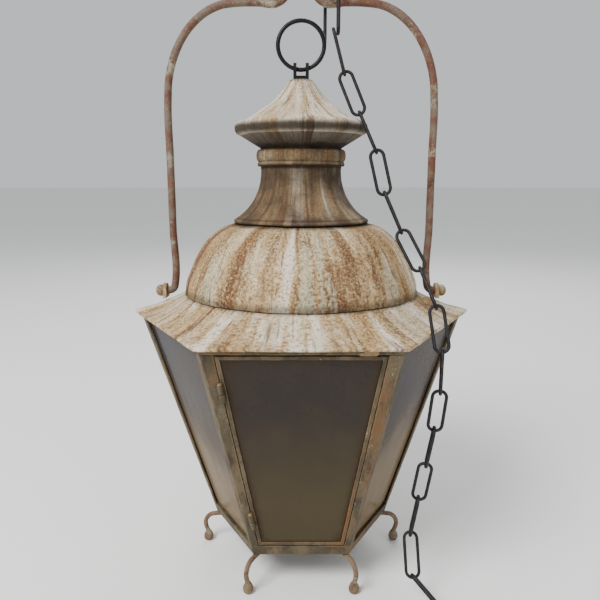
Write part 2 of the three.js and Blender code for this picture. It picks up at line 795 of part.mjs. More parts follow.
// The top of the chain is thrown over the bail: one link lies across the rod, and one hangs from
// each of its ends.
const crossing = new THREE.Vector3(SADDLE_REACH_X, -SADDLE_REACH_Y, 0);
const saddle = add('chain_link_02', link, chainSteel());
placeLink(saddle, new THREE.Vector3(SADDLE_X, 0, SADDLE_Z), crossing, Z_AXIS, Math.PI / 2);
const HANGING = [['chain_link_01', -1], ['chain_link_03', 1]];
for (const [name, side] of HANGING) {
  const mesh = add(name, link, chainSteel());
  const centre = crossing.clone().multiplyScalar(side);
  centre.add(new THREE.Vector3(SADDLE_X, 0, SADDLE_Z + hook - LINK_REACH));
  placeLink(mesh, centre, new THREE.Vector3(0, 0, -1), new THREE.Vector3(1, 0, 0), Math.PI / 2);
}

export default lantern;
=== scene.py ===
"""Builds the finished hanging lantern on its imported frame, and the studio that shows it."""

import json
import math

import bpy
import numpy as np
from bpy.props import FloatProperty, FloatVectorProperty, IntProperty, PointerProperty
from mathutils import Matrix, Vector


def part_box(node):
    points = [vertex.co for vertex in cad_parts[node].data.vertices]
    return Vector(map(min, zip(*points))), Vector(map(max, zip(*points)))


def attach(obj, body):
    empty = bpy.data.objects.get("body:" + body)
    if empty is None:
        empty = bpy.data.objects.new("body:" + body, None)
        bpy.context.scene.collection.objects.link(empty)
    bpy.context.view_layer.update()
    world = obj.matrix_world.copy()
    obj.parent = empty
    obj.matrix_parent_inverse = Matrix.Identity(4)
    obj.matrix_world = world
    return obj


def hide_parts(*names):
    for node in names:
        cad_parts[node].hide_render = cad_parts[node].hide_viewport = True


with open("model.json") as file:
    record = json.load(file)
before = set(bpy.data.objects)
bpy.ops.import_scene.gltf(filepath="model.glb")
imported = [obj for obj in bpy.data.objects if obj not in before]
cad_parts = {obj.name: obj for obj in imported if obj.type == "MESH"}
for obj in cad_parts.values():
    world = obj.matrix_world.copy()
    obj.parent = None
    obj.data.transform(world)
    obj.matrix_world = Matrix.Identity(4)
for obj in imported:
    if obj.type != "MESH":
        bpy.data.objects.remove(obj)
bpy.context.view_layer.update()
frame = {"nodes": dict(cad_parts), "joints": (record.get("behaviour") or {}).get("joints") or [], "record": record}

bl_info = {
    "name": "Hanging Lantern",
    "version": (1, 0, 0),
    "blender": (4, 5, 0),
    "location": "3D View > Sidebar > Lantern",
    "description": "Builds a weathered six-sided hanging lantern around its packed frame",
    "category": "Object",
}

MM = 0.001
TAU = 2 * math.pi
SIDES = 6
SIDE_ANGLE = TAU / SIDES
HEX_FLAT = math.cos(SIDE_ANGLE / 2)
UP = np.array([0.0, 0.0, 1.0])
SHEET = 2 * MM


# ---- the frame's places ----


def corners(node):
    """The lowest and the highest corner of a CAD node, as arrays."""
    low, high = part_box(node)
    return np.array(low), np.array(high)


def points_of(node):
    """The vertices of a CAD node."""
    mesh = frame["nodes"][node].data
    flat = np.zeros(len(mesh.vertices) * 3)
    mesh.vertices.foreach_get("co", flat)
    return flat.reshape(-1, 3)


def joint(name):
    """The place and the direction of a hinge."""
    found = next(item for item in frame["joints"] if item["name"] == name)
    return np.array(found["pos_m"], float), np.array(found["axis"], float)


BASE_LOW, BASE_HIGH = corners("bottom_frame")
RAIL_LOW, RAIL_HIGH = corners("top_frame")
LEAN = (RAIL_HIGH[0] - BASE_HIGH[0]) / (RAIL_HIGH[2] - BASE_HIGH[2])
FACE_TILT = math.atan(LEAN * HEX_FLAT)
FRONT = 4
SKIRT_LOW, SKIRT_HIGH = corners("skirt")
DOME_LOW, DOME_HIGH = corners("dome")
NECK_LOW, NECK_HIGH = corners("neck")
CAP_LOW, CAP_HIGH = corners("cap")
COLLAR_LOW, COLLAR_HIGH = corners("neck_collar")
CHAIN_CAD_WIRE = 1.8 * MM


def body_r(z):
    """The tapered body's corner radius at a height: a straight line through the two rails."""
    return BASE_HIGH[0] + (z - BASE_HIGH[2]) * LEAN


STRIP_WIDTH = corners("corner_strip_1")[1][1] / HEX_FLAT


def strip_width(z):
    """The width of a corner strip's flange, which narrows with the body."""
    return STRIP_WIDTH * body_r(z) / body_r(RAIL_LOW[2])


def side_frame(side, z):
    """The origin and the along, up and out directions of a side, whose face leans by FACE_TILT."""
    turn = SIDE_ANGLE * (side + 0.5)
    c, s = math.cos(turn), math.sin(turn)
    ct, st = math.cos(FACE_TILT), math.sin(FACE_TILT)
    flat = body_r(z) * HEX_FLAT
    along = np.array([-s, c, 0])
    up = np.array([st * c, st * s, ct])
    out = np.array([ct * c, ct * s, -st])
    return np.array([flat * c, flat * s, z]), along, up, out


# ---- curves and sections ----


def circle_of(count):
    """Points spaced evenly round the unit circle."""
    angle = np.arange(count) * TAU / count
    return np.stack([np.cos(angle), np.sin(angle)], -1)


def hexagon_of(count):
    """Points round the six straight sides of the unit hexagon, count to a side."""
    ring = circle_of(SIDES)
    t = np.linspace(0, 1, count, endpoint=False)[None, :, None]
    return ((1 - t) * ring[:, None] + t * np.roll(ring, -1, 0)[:, None]).reshape(-1, 1, 2)


def above(low, points):
    """Profile points (radius, height), given in millimetres above a level."""
    return np.array(points) * MM + [0, low]


def lathe(low, radii, heights):
    """A turning's profile from its radii and heights, given in millimetres above a level."""
    return above(low, np.stack([radii, heights], 1))


def raised(flat, z):
    """Plane points with their heights."""
    return np.concatenate([flat, np.broadcast_to(z, flat.shape[:2] + (1,))], -1)


def at_corner(corner):
    """The matrix that turns row vectors from the first corner round to another."""
    c, s = math.cos(corner * SIDE_ANGLE), math.sin(corner * SIDE_ANGLE)
    return np.array([[c, s, 0], [-s, c, 0], [0, 0, 1]])


def smooth_line(points, count):
    """A cubic Hermite curve through the points. Its slope at each is taken from its neighbours."""
    points = np.asarray(points, float)
    reach = np.concatenate([[0], np.cumsum(np.linalg.norm(np.diff(points, axis=0), axis=1))])
    slope = np.gradient(points, reach, axis=0)
    way = np.linspace(0, reach[-1], count)
    k = np.clip(np.searchsorted(reach, way, side="right") - 1, 0, len(reach) - 2)
    span = (reach[k + 1] - reach[k])[:, None]
    u = (way - reach[k])[:, None] / span
    start = (1 + 2 * u) * (1 - u) ** 2 * points[k] + u * (1 - u) ** 2 * span * slope[k]
    return start + u * u * (3 - 2 * u) * points[k + 1] + u * u * (u - 1) * span * slope[k + 1]


def eased(outline, radius):
    """A closed outline with eased corners, and its wear.

    Each corner is the parabola (1-t)^2 a + 2t(1-t) corner + t^2 b between the points a and b that
    lie a radius from it. Three points stand on each flat. Wear is 1 on the corners, 0 on the flats.
    """
    outline = np.asarray(outline, float)
    steps = 4

    def toward(other):
        way = other - outline
        length = np.linalg.norm(way, axis=1, keepdims=True)
        return way / length * np.minimum(radius, 0.42 * length)

    a = outline + toward(np.roll(outline, 1, 0))
    b = outline + toward(np.roll(outline, -1, 0))
    t = np.linspace(0, 1, steps + 1)[None, :, None]
    arcs = (1 - t) ** 2 * a[:, None] + 2 * t * (1 - t) * outline[:, None] + t * t * b[:, None]
    u = np.array([0.15, 0.5, 0.85])[None, :, None]
    flats = (1 - u) * b[:, None] + u * np.roll(a, -1, 0)[:, None]
    line = np.concatenate([arcs, flats], axis=1).reshape(-1, 2)
    wear = np.tile([1.0] * (steps + 1) + [0.0] * 3, len(outline))
    return line, wear


def shell_line(outer, thickness):
    """A closed profile: an outline, then the same outline moved inwards by the sheet's thickness."""
    slope = np.gradient(outer, axis=0)
    slope /= np.linalg.norm(slope, axis=1, keepdims=True)
    inner = outer + thickness * np.stack([-slope[:, 1], slope[:, 0]], axis=1)
    return np.concatenate([outer, inner[::-1]])


def ripple(points, length, seed):
    """A smooth random field: the mean of nine sines in random directions, near one wavelength."""
    rng = np.random.default_rng(seed)
    ways = rng.normal(size=(9, 3))
    ways *= TAU / length * rng.uniform(0.6, 1.5, (9, 1)) / np.linalg.norm(ways, axis=1, keepdims=True)
    return 1.6 * np.sin(points @ ways.T + rng.uniform(0, TAU, 9)).mean(axis=-1)


# ---- surfaces ----


def shell(points, wrap=False, **values):
    """The closed skin over rows of sections.

    Every section is a closed line of points. The rows close on themselves, or each end is closed by
    a fan to the section's middle. The faces are turned round if the skin's signed volume, a sixth of
    the sum of a . (b x c), is negative. Values are numbers for each column, such as wear.
    """
    rows, columns = points.shape[:2]
    here = np.arange(rows * columns).reshape(rows, columns)
    beside = np.roll(here, -1, 1)
    vertices = points.reshape(-1, 3)
    if wrap:
        quads = np.stack([here, beside, np.roll(beside, -1, 0), np.roll(here, -1, 0)], -1)
        fans = np.zeros((0, 3), int)
    else:
        quads = np.stack([here[:-1], beside[:-1], beside[1:], here[1:]], -1)
        first = np.full(columns, rows * columns)
        fans = np.concatenate([
            np.stack([first, beside[0], here[0]], -1),
            np.stack([first + 1, here[-1], beside[-1]], -1),
        ])
        vertices = np.concatenate([vertices, points[[0, -1]].mean(axis=1)])
    quads = quads.reshape(-1, 4)
    triangles = np.concatenate([quads[:, :3], quads[:, [0, 2, 3]], fans])
    a, b, c = (vertices[triangles[:, i]] for i in range(3))
    if np.einsum("ij,ij->i", a, np.cross(b, c)).sum() < 0:
        quads, fans = quads[:, ::-1], fans[:, ::-1]
    layers = {}
    for name, value in values.items():
        layer = np.broadcast_to(value, (rows, columns)).ravel()
        extra = len(vertices) - len(layer)
        layers[name] = np.concatenate([layer, np.full(extra, layer[-1])])
    return vertices, quads.tolist() + fans.tolist(), layers


def turned(profile, segments, centre=(0, 0, 0), axes=None):
    """A turning: (r cos a, r sin a, z) for each profile point (r, z) and each angle a.

    A closed profile clear of the axis gives a ring. One that starts and ends on the axis is capped.
    """
    ring = circle_of(segments)
    profile = np.asarray(profile, float)
    solid = profile[0, 0] < 1e-7 and profile[-1, 0] < 1e-7
    if solid:
        profile = profile[1:-1]
        points = raised(profile[:, None, :1] * ring[None], profile[:, None, 1:])
    else:
        points = raised(ring[:, None] * profile[None, :, :1], profile[None, :, 1:])
    if axes is not None:
        points = points @ np.asarray(axes, float)
    return shell(points + np.asarray(centre, float), wrap=not solid)


def swept(path, radius, across, sides, wrap=False):
    """A round rod: at each path point a circle of its radius, spanned by across and by the
    direction square to across and to the path."""
    path = np.asarray(path, float)
    ahead = np.roll(path, -1, 0) - np.roll(path, 1, 0) if wrap else np.gradient(path, axis=0)
    square = np.cross(ahead, across)
    square /= np.linalg.norm(square, axis=1, keepdims=True)
    angle = np.arange(sides) * TAU / sides
    radius = np.broadcast_to(radius, len(path))[:, None, None]
    circle = np.cos(angle)[None, :, None] * across + np.sin(angle)[None, :, None] * square[:, None]
    return shell(path[:, None] + radius * circle, wrap=wrap)


def stacked(outlines, origin, axes, **values):
    """Sections stacked along a line: each row holds (x, y, z) in the axes' directions."""
    return shell(np.asarray(origin) + np.asarray(outlines) @ np.asarray(axes), **values)


def framed(loop, section, out, **values):
    """A mitred frame: a section of (inward, outward) offsets carried round a loop of corners.

    At a corner the inward direction is (n1 + n2) / (1 + n1 . n2) of its two sides' normals, and
    between corners it is blended in a straight line, so that each side stays even.
    """
    loop = np.asarray(loop, float)
    ahead = np.roll(loop, -1, 0) - loop
    ahead /= np.linalg.norm(ahead, axis=1, keepdims=True)
    normal = np.cross(out, ahead)
    before = np.roll(normal, 1, 0)
    mitre = (normal + before) / (1 + np.einsum("ij,ij->i", normal, before))[:, None]
    t = np.linspace(0, 1, 24, endpoint=False)[None, :, None]
    line = ((1 - t) * loop[:, None] + t * np.roll(loop, -1, 0)[:, None]).reshape(-1, 1, 3)
    inward = ((1 - t) * mitre[:, None] + t * np.roll(mitre, -1, 0)[:, None]).reshape(-1, 1, 3)
    points = line + section[None, :, :1] * inward + section[None, :, 1:] * np.asarray(out)
    return shell(points, wrap=True, **values)


def six_sided(section, **values):
    """A six-sided hoop: a section of (corner radius, height) carried round six straight sides."""
    points = raised(hexagon_of(40) * section[None, :, :1], section[None, :, 1:])
    points[..., 2] += 0.12 * MM * ripple(points, 0.05, 5)
    return shell(points, wrap=True, **values)


def new_object(name, data):
    """An object of the scene with a mesh, a light or a lens."""
    made = bpy.data.objects.new(name, data)
    bpy.context.scene.collection.objects.link(made)
    return made


def finished(piece, body, nodes):
    """The end of every piece: even shading, the body it rides on and the CAD nodes it replaces."""
    piece.modifiers.new("Even shading", "WEIGHTED_NORMAL").keep_sharp = True
    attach(piece, body)
    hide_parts(*nodes)


def make(name, shells, material, body, nodes):
    """One piece from its closed shells."""
    vertices, faces, start = [], [], 0
    for points, polygons, _ in shells:
        vertices.append(points)
        faces += [[start + i for i in polygon] for polygon in polygons]
        start += len(points)
    mesh = bpy.data.meshes.new(name)
    mesh.from_pydata(np.concatenate(vertices).tolist(), [], faces)
    for layer in ("wear", "inside"):
        values = [s[2].get(layer, np.zeros(len(s[0]))) for s in shells]
        mesh.attributes.new(layer, "FLOAT", "POINT").data.foreach_set("value", np.concatenate(values))
    mesh.polygons.foreach_set("use_smooth", [True] * len(mesh.polygons))
    mesh.set_sharp_from_angle(angle=math.radians(40))
    mesh.materials.append(material)
    finished(new_object(name, mesh), body, nodes)


# ---- materials ----


class Value:
    """A socket of a material, with the operators that its sums need."""

    def __init__(self, finish, socket):
        self.finish = finish
        self.socket = socket

    def worked(self, operation, *terms):
        inputs = dict(enumerate(terms))
        return self.finish.node("Math", {"operation": operation}, inputs)

    def __add__(self, other):
        return self.worked("ADD", self, other)

    __radd__ = __add__

    def __sub__(self, other):
        return self.worked("SUBTRACT", self, other)

    def __rsub__(self, other):
        return self.worked("SUBTRACT", other, self)

    def __mul__(self, other):
        return self.worked("MULTIPLY", self, other)

    __rmul__ = __mul__

    def __truediv__(self, other):
        return self.worked("DIVIDE", self, other)

    def __pow__(self, other):
        return self.worked("POWER", self, other)

    def __abs__(self):
        return self.worked("ABSOLUTE", self)

    def __or__(self, other):
        return self.worked("MAXIMUM", self, other)


class Finish:
    """A material with one shader and the few nodes that paint it."""

    def __init__(self, name, **constants):
        self.material = bpy.data.materials.new(name)
        self.material.use_nodes = True
        self.tree = self.material.node_tree
        self.tree.nodes.clear()
        self.shader = self.tree.nodes.new("ShaderNodeBsdfPrincipled")
        output = self.tree.nodes.new("ShaderNodeOutputMaterial")
        self.tree.links.new(self.shader.outputs[0], output.inputs["Surface"])
        for socket, value in constants.items():
            self.shader.inputs[socket.replace("_", " ")].default_value = value
        self.place = self.node("TexCoord", output="Object")

    def node(self, kind, settings=None, inputs=None, output=0):
        """Adds a node: its settings first, then the values or links of its inputs."""
        made = self.tree.nodes.new("ShaderNode" + kind)
        for key, value in (settings or {}).items():
            setattr(made, key, value)
        for key, value in (inputs or {}).items():
            if isinstance(value, Value):
                self.tree.links.new(value.socket, made.inputs[key])
            else:
                made.inputs[key].default_value = value
        return Value(self, made.outputs[output])

    def parts(self):
        """The three coordinates of the place."""
        return [self.node("SeparateXYZ", inputs={0: self.place}, output=i) for i in range(3)]

    def vector(self, x, y, z):
        return self.node("CombineXYZ", inputs={0: x, 1: y, 2: z})

    def noise(self, scale, seed, detail, vector=None, rough=0.6):
        inputs = {"Vector": vector or self.place, "W": seed, "Scale": scale}
        inputs |= {"Detail": detail, "Roughness": rough}
        return self.node("TexNoise", {"noise_dimensions": "4D"}, inputs)

    def band(self, value, low, high):
        """0 below low, 1 above high, and smooth between."""
        inputs = {"Value": value, "From Min": low, "From Max": high}
        return self.node("MapRange", {"interpolation_type": "SMOOTHSTEP"}, inputs)

    def attribute(self, name):
        return self.node("Attribute", {"attribute_name": name}, output="Fac")

    def mix(self, factor, first, second):
        """A blend of two colours, each a socket or the name of a setting."""
        colours = [c if isinstance(c, Value) else (*colour_of(c), 1) for c in (first, second)]
        inputs = {0: factor, 6: colours[0], 7: colours[1]}
        return self.node("Mix", {"data_type": "RGBA"}, inputs, output=2)

    def cover(self, base, name, value, low, high, amount=1.0):
        """The named colour over a base, as far as the value has risen from low to high."""
        return self.mix(self.band(value, low, high) * amount, base, name)

    def near(self, height, width):
        """1 at a height and 0 a width away from it."""
        return 1 - self.band(abs(self.parts()[2] - height), 0.0, width)

    def feed(self, **links):
        for socket, value in links.items():
            self.tree.links.new(value.socket, self.shader.inputs[socket.replace("_", " ")])

    def done(self, colour, rough, height, depth, **more):
        """Feeds the shader its colour, its roughness and a bump, and gives the material."""
        inputs = {"Strength": 1.0, "Distance": depth, "Height": height}
        bump = self.node("Bump", inputs=inputs, output="Normal")
        self.feed(Base_Color=colour, Roughness=rough, Normal=bump, **more)
        return self.material


def linear(code):
    """A colour's linear values from its six-digit code."""
    levels = [int(code[i : i + 2], 16) / 255 for i in (0, 2, 4)]
    return [((v + 0.055) / 1.055) ** 2.4 if v > 0.04 else v / 12.92 for v in levels]


def colour_of(name):
    return tuple(getattr(bpy.context.scene.lantern_colours, name))


def roof_paint(name, bands, drip, grime_and_shade, tone, gloom=0.0):
    """Weathered paint on the roof.

    Its runs are noises on (x/r k, y/r k, (r - z) d), so they keep to the roof's meridians. One of
    them, with a finer one on it, takes the paint from rust through tan and cream to bleached paint;
    tone shifts it along, and gloom darkens it towards the soil colour. There are also green-white
    runs, narrow lines of rust, and a crust of light and dark grains drawn out downhill. Grime and
    painted shade lie at the given heights, as (height, width, depth), and painted shade darkens the
    faces marked inside.
    """
    c = Finish(name, Specular_IOR_Level=0.25)
    x, y, z = c.parts()
    reach = (x * x + y * y) ** 0.5 + 0.002
    down = reach - z
    fall = down * drip
    ring = c.vector(x / reach * bands, y / reach * bands, fall)
    fine = c.vector(x / reach * bands * 3, y / reach * bands * 3, fall * 2)
    crust = c.vector(x / reach * 42, y / reach * 42, down * 280)
    grain = c.noise(1, 1, 5, crust, 0.75)
    grit = c.noise(420, 2, 4, rough=0.7)
    blot = c.noise(30, 3, 6, rough=0.65)
    jitter = (grain - 0.5) * 0.5 + (blot - 0.5) * 0.6 + (grit - 0.5) * 0.3
    thin = c.noise(1, 5, 5, fine)
    patch = (c.noise(9, 10, 3) - 0.5) * 0.5
    run = c.noise(1, 4, 4, ring) + (thin - 0.5) * 0.3 + patch + jitter * 0.5 + tone
    paint = c.cover("rust", "tan", run, 0.3, 0.44)
    paint = c.cover(paint, "cream", run, 0.4, 0.54)
    paint = c.cover(paint, "bleached", run, 0.52, 0.66, 0.7)
    green = c.band(c.noise(1.2, 7, 4, ring) + (thin - 0.5) * 0.3 + jitter * 0.6, 0.52, 0.62)
    paint = c.mix(green * 0.55, paint, "verdigris")
    orange = c.band(c.noise(0.8, 8, 4, ring) + jitter * 0.5 - patch * 0.6, 0.5, 0.66)
    paint = c.mix(orange * 0.55, paint, "orange")
    line = c.band(c.noise(0.7, 6, 4, fine) + jitter * 0.3, 0.56, 0.66)
    paint = c.mix(line * 0.75, paint, "oxide")
    crack = c.band(c.noise(1.7, 9, 4, fine) + jitter * 0.2, 0.59, 0.65)
    paint = c.mix(crack * 0.6, paint, "umber")
    cast = c.band(blot + jitter, 0.2, 0.7) * 0.5 + 0.5
    paint = c.mix(cast * gloom, paint, "soil")
    pits = 1 - c.band(grain + (grit - 0.5) * 0.5, 0.36, 0.54)
    peaks = c.band(grain + (grit - 0.5) * 0.5, 0.5, 0.66)
    paint = c.mix(pits * 0.6, paint, "umber")
    paint = c.mix(peaks * (0.45 - 0.4 * gloom), paint, "chalk")
    # Painted shade with some grime: the faces marked inside are darkened almost fully, and bands at the given
    # heights, where the roof's parts meet, are darkened as well.
    dirt_and_shade = c.attribute("inside") * 0.97
    for height, width, depth in grime_and_shade:
        dirt_and_shade = dirt_and_shade | (c.band(c.near(height, width) + jitter * 0.9, 0.2, 1.0) * depth)
    paint = c.mix(dirt_and_shade, paint, "grime_and_shade")
    height = grain + grit * 0.5 + blot * 0.6 - line * 0.2 - crack * 0.3
    return c.done(paint, 0.85 + (grain - 0.5) * 0.3, height, 1.8 * MM)


def aged_strip(name, seed):
    """Dark olive strip metal with amber and rust patches, greyed runs, and lime specks."""
    c = Finish(name, Specular_IOR_Level=0.35, Metallic=0.1)
    x, y, z = c.parts()
    grain = c.noise(260, seed + 1, 5, rough=0.7)
    blot = c.noise(55, seed + 2, 5)
    run = c.noise(1, seed + 3, 4, c.vector(x * 45, y * 45, z * 11))
    jitter = (grain - 0.5) * 0.4
    metal = c.cover("olive", "drab", run + jitter, 0.4, 0.65)
    amber = c.band(c.noise(8, seed + 4, 3) + (run - 0.5) * 0.6 + jitter * 0.6, 0.48, 0.66)
    metal = c.mix(amber * 0.75, metal, "amber")
    metal = c.cover(metal, "ochre", run * 0.6 + blot * 0.4 + jitter, 0.52, 0.68, 0.55)
    soil = c.noise(1, seed + 7, 5, c.vector(x * 90, y * 90, z * 22))
    metal = c.cover(metal, "grime_and_shade", soil + jitter, 0.52, 0.68, 0.6)
    edge = c.band(c.attribute("wear") + (blot - 0.5) * 2.2 + jitter, 0.8, 1.3)
    metal = c.mix(edge * 0.5, metal, "tan")
    lime = c.band(c.noise(420, seed + 5, 3), 0.6, 0.7) * c.band(c.noise(24, seed + 6, 3), 0.5, 0.65)
    metal = c.mix(lime * 0.45, metal, "bleached")
    return c.done(metal, 0.66 + (blot - 0.5) * 0.5, grain * 0.7 + blot * 0.8, 0.9 * MM)


def rusted_rod(name, pale, sand=0.0):
    """Rusted round bar: red-brown scale with verdigris and bleached patches along it."""
    c = Finish(name, Specular_IOR_Level=0.35, Metallic=0.1)
    grain = c.noise(420, 1, 6)
    blot = c.noise(60, 2, 5)
    patch = c.noise(22, 3, 4)
    jitter = (grain - 0.5) * 0.3
    metal = c.cover("scale", "ash", blot + jitter, 0.38, 0.62)
    metal = c.cover(metal, "verdigris", patch + jitter, 0.56 - pale, 0.68 - pale, 0.45)
    metal = c.cover(metal, "rust", c.noise(48, 5, 4) + jitter, 0.57, 0.68, 0.8)
    if sand:
        metal = c.cover(metal, "sand", c.noise(70, 8, 4) + jitter, 0.35, 0.6, sand)
    metal = c.cover(metal, "grime_and_shade", c.noise(90, 6, 4) + jitter, 0.58, 0.7, 0.7)
    metal = c.cover(metal, "chalk", c.noise(520, 7, 3), 0.6, 0.7, 0.3)
    return c.done(metal, 0.78 + (blot - 0.5) * 0.4, grain * 0.6 + blot * 0.6, 0.7 * MM)


def black_iron(name):
    """Blackened iron with worn bright spots and a little rust."""
    c = Finish(name, Specular_IOR_Level=0.5)
    grain = c.noise(500, 1, 5)
    blot = c.noise(130, 2, 4)
    metal = c.cover("iron", "soot", blot, 0.45, 0.65)
    metal = c.cover(metal, "scale", c.noise(170, 3, 4), 0.6, 0.72, 0.5)
    rough = 0.42 + (blot - 0.5) * 0.6
    return c.done(metal, rough, grain * 0.5 + blot * 0.8, 0.5 * MM, Metallic=0.9 - blot * 0.5)


def chain_steel(name):
    """Tarnished steel wire with dark crooks and small spots of rust."""
    c = Finish(name, Specular_IOR_Level=0.3)
    grain = c.noise(650, 1, 5)
    blot = c.noise(160, 2, 4)
    metal = c.cover("chain", "soot", blot, 0.4, 0.62)
    metal = c.cover(metal, "scale", c.noise(210, 3, 4), 0.6, 0.7, 0.65)
    metal = c.cover(metal, "ash", c.noise(120, 4, 3), 0.62, 0.75, 0.25)
    return c.done(metal, 0.55 + (blot - 0.5) * 0.5, grain * 0.5 + blot * 0.5, 0.35 * MM)


def dusty_glass(name, seed, veil, film="smoke", dust_and_view="dust"):
    """Thin smoky glass under a film: grey above, browner below with dust and a painted view of the floor
    behind the glass, and dirty at its edges. Veil is the alpha of its clean part."""
    c = Finish(name, IOR=1.07)
    x, y, z = c.parts()
    cloud = c.noise(9, seed + 1, 4)
    mottle = c.noise(260, seed + 2, 3)
    run = c.noise(1, seed + 4, 4, c.vector(x * 60, y * 60, z * 7))
    height = z + (cloud - 0.5) * 0.22 + (run - 0.5) * 0.07
    low = 1 - c.band(height, BASE_HIGH[2] + 0.05, BASE_HIGH[2] + 0.18)
    edge = c.band(c.attribute("wear") + (mottle - 0.5) * 0.6, 0.5, 1.1)
    dust = c.band(cloud + (run - 0.5) * 0.3, 0.35, 0.75)
    tint = c.mix(dust * 0.25, film, dust_and_view)
    # Painted view: the lower glass takes the colour of the floor and ground behind it, together with settled dust.
    tint = c.mix(low * (0.75 + (run - 0.5) * 0.4), tint, dust_and_view)
    tint = c.mix(edge * 0.8, tint, "soil")
    cover = veil + dust * 0.08 + low * 0.14 + edge * 0.2
    rough = 0.16 + dust * 0.2 + edge * 0.3
    return c.done(tint, rough, c.noise(5, seed + 5, 1), 1.5 * MM, Alpha=cover)


def dull_brass(name, dust=0.7):
    """Old brass with brown tarnish and pale dust in its hollows."""
    c = Finish(name, Specular_IOR_Level=0.5)
    grain = c.noise(520, 1, 5)
    blot = c.noise(150, 2, 4)
    metal = c.cover("brass", "tan", blot, 0.4, 0.65, dust)
    metal = c.cover(metal, "grime_and_shade", c.noise(260, 3, 4), 0.56, 0.7, 0.7)
    return c.done(metal, 0.5 + (blot - 0.5) * 0.6, grain, 0.3 * MM, Metallic=0.75 - blot * 0.7)


def floor_tin(name):
    """The lantern's dull olive floor under a drift of dust."""
    c = Finish(name, Specular_IOR_Level=0.3)
    x, y, _ = c.parts()
    grain = c.noise(420, 1, 5)
    cloud = c.noise(26, 2, 5)
    drift = c.band((x * x + y * y) ** 0.5 + (cloud - 0.5) * 0.06, 0.04, 0.095)
    metal = c.cover("olive", "grime_and_shade", cloud, 0.4, 0.62)
    metal = c.mix(drift * 0.6 + grain * 0.25, metal, "dust")
    return c.done(metal, 0.85 + (grain - 0.5) * 0.2, grain + cloud, 0.5 * MM)


def porcelain(name):
    """White glazed porcelain, crazed with fine brown lines and dusty on top."""
    c = Finish(name, Coat_Roughness=0.2)
    crack = c.node("TexVoronoi", {"feature": "DISTANCE_TO_EDGE"}, {"Vector": c.place, "Scale": 170})
    cloud = c.noise(60, 2, 4)
    glaze = c.cover("porcelain", "dust", cloud, 0.5, 0.7, 0.5)
    glaze = c.mix((1 - c.band(crack, 0.0, 0.06)) * 0.35, glaze, "umber")
    return c.done(glaze, 0.2 + cloud * 0.3, cloud, 0.2 * MM, Coat_Weight=0.6 - cloud * 0.5)


def pale_floor(name):
    """A plain pale studio floor."""
    c = Finish(name, Specular_IOR_Level=0.1, Base_Color=(*colour_of("studio"), 1))
    cloud = c.noise(3, 1, 2)
    c.feed(Roughness=0.85 + cloud * 0.05)
    return c.material


def finish(name, maker, *details):
    """The finish of that name, made on its first use."""
    full = "finish_" + name
    return bpy.data.materials.get(full) or maker(full, *details)


# ---- settings ----


def length(label, words, value):
    return FloatProperty(name=label, description=words, default=value, unit="LENGTH", precision=4)


def colour(label, words, code):
    value = linear(code)
    return FloatVectorProperty(name=label, description=words, default=value, subtype="COLOR", size=3)


class LanternSizes(bpy.types.PropertyGroup):
    """The sizes that the frame leaves to the finish."""

    flutes: IntProperty(name="Flutes", description="Shallow flutes round the dome", default=26)
    flute_depth: length("Flute depth", "Height of a flute over its valley", 0.7 * MM)
    dent: length("Dents", "Depth of the roof's dents", 0.9 * MM)
    edge: length("Edge", "Easing of sheet and strip edges", 0.7 * MM)
    bail_rod: length("Bail rod", "Radius of the bail's bar", 4.4 * MM)
    ring_wire: length("Ring wire", "Radius of the top ring's wire", 2.35 * MM)
    chain_wire: length("Chain wire", "Radius of the chain's wire", 1.78 * MM)
    foot_rod: length("Foot rod", "Radius of the feet's bars", 2.8 * MM)


class LanternColours(bpy.types.PropertyGroup):
    """The colours of the lantern's finishes."""

    cream: colour("Cream", "Roof paint", "bda177")
    chalk: colour("Chalk", "Light grains on paint and bars", "dcc8a4")
    tan: colour("Tan", "Darker roof paint, worn edges and tarnish", "8f7350")
    bleached: colour("Bleached", "Bleached paint and lime", "f3ecdc")
    rust: colour("Rust", "Orange-brown rust", "6d4a31")
    orange: colour("Orange", "Orange bloom of rust", "a07c45")
    oxide: colour("Oxide", "Red-brown rust lines", "5d3526")
    umber: colour("Umber", "Dark rust", "5c3a20")
    verdigris: colour("Verdigris", "Pale green bloom", "bdbfa4")
    # This colour is also the roof's painted shade, inside and under its parts and where they meet.
    grime_and_shade: colour("Grime", "Soot and dirt", "251a10")
    olive: colour("Olive", "Strip metal", "453b29")
    drab: colour("Drab", "Greyed strip metal", "665b44")
    amber: colour("Amber", "Warmer strip metal", "6b4620")
    ochre: colour("Ochre", "Dull rust on strip metal", "53391f")
    scale: colour("Scale", "Rust scale on bars", "5e3a2b")
    ash: colour("Ash", "Greyed rust on bars", "6a5d50")
    iron: colour("Iron", "Blackened iron", "1c1a1b")
    soot: colour("Soot", "Darkest iron", "0e0d0e")
    chain: colour("Chain", "Tarnished chain steel", "1b181b")
    smoke: colour("Smoke", "Grey film on the door's glass", "3a3532")
    haze: colour("Haze", "Grey film on the side panes", "3b3638")
    soil: colour("Soil", "Soil on the neck and the glass's edges", "3a2e22")
    # On the lower door glass this colour also paints the view of the lantern's floor behind it.
    dust: colour("Dust", "Dust on the door's glass and the floor", "4e4532")
    # On the lower side panes this colour also paints the view of the ground behind them.
    sand: colour("Sand", "Sandy dust on the side panes and feet", "7d6a4e")
    brass: colour("Brass", "Tarnished brass", "806845")
    porcelain: colour("Porcelain", "Lampholder glaze", "ddd8cc")
    studio: colour("Studio", "Floor of the studio", "eeeeec")


# ---- roof ----


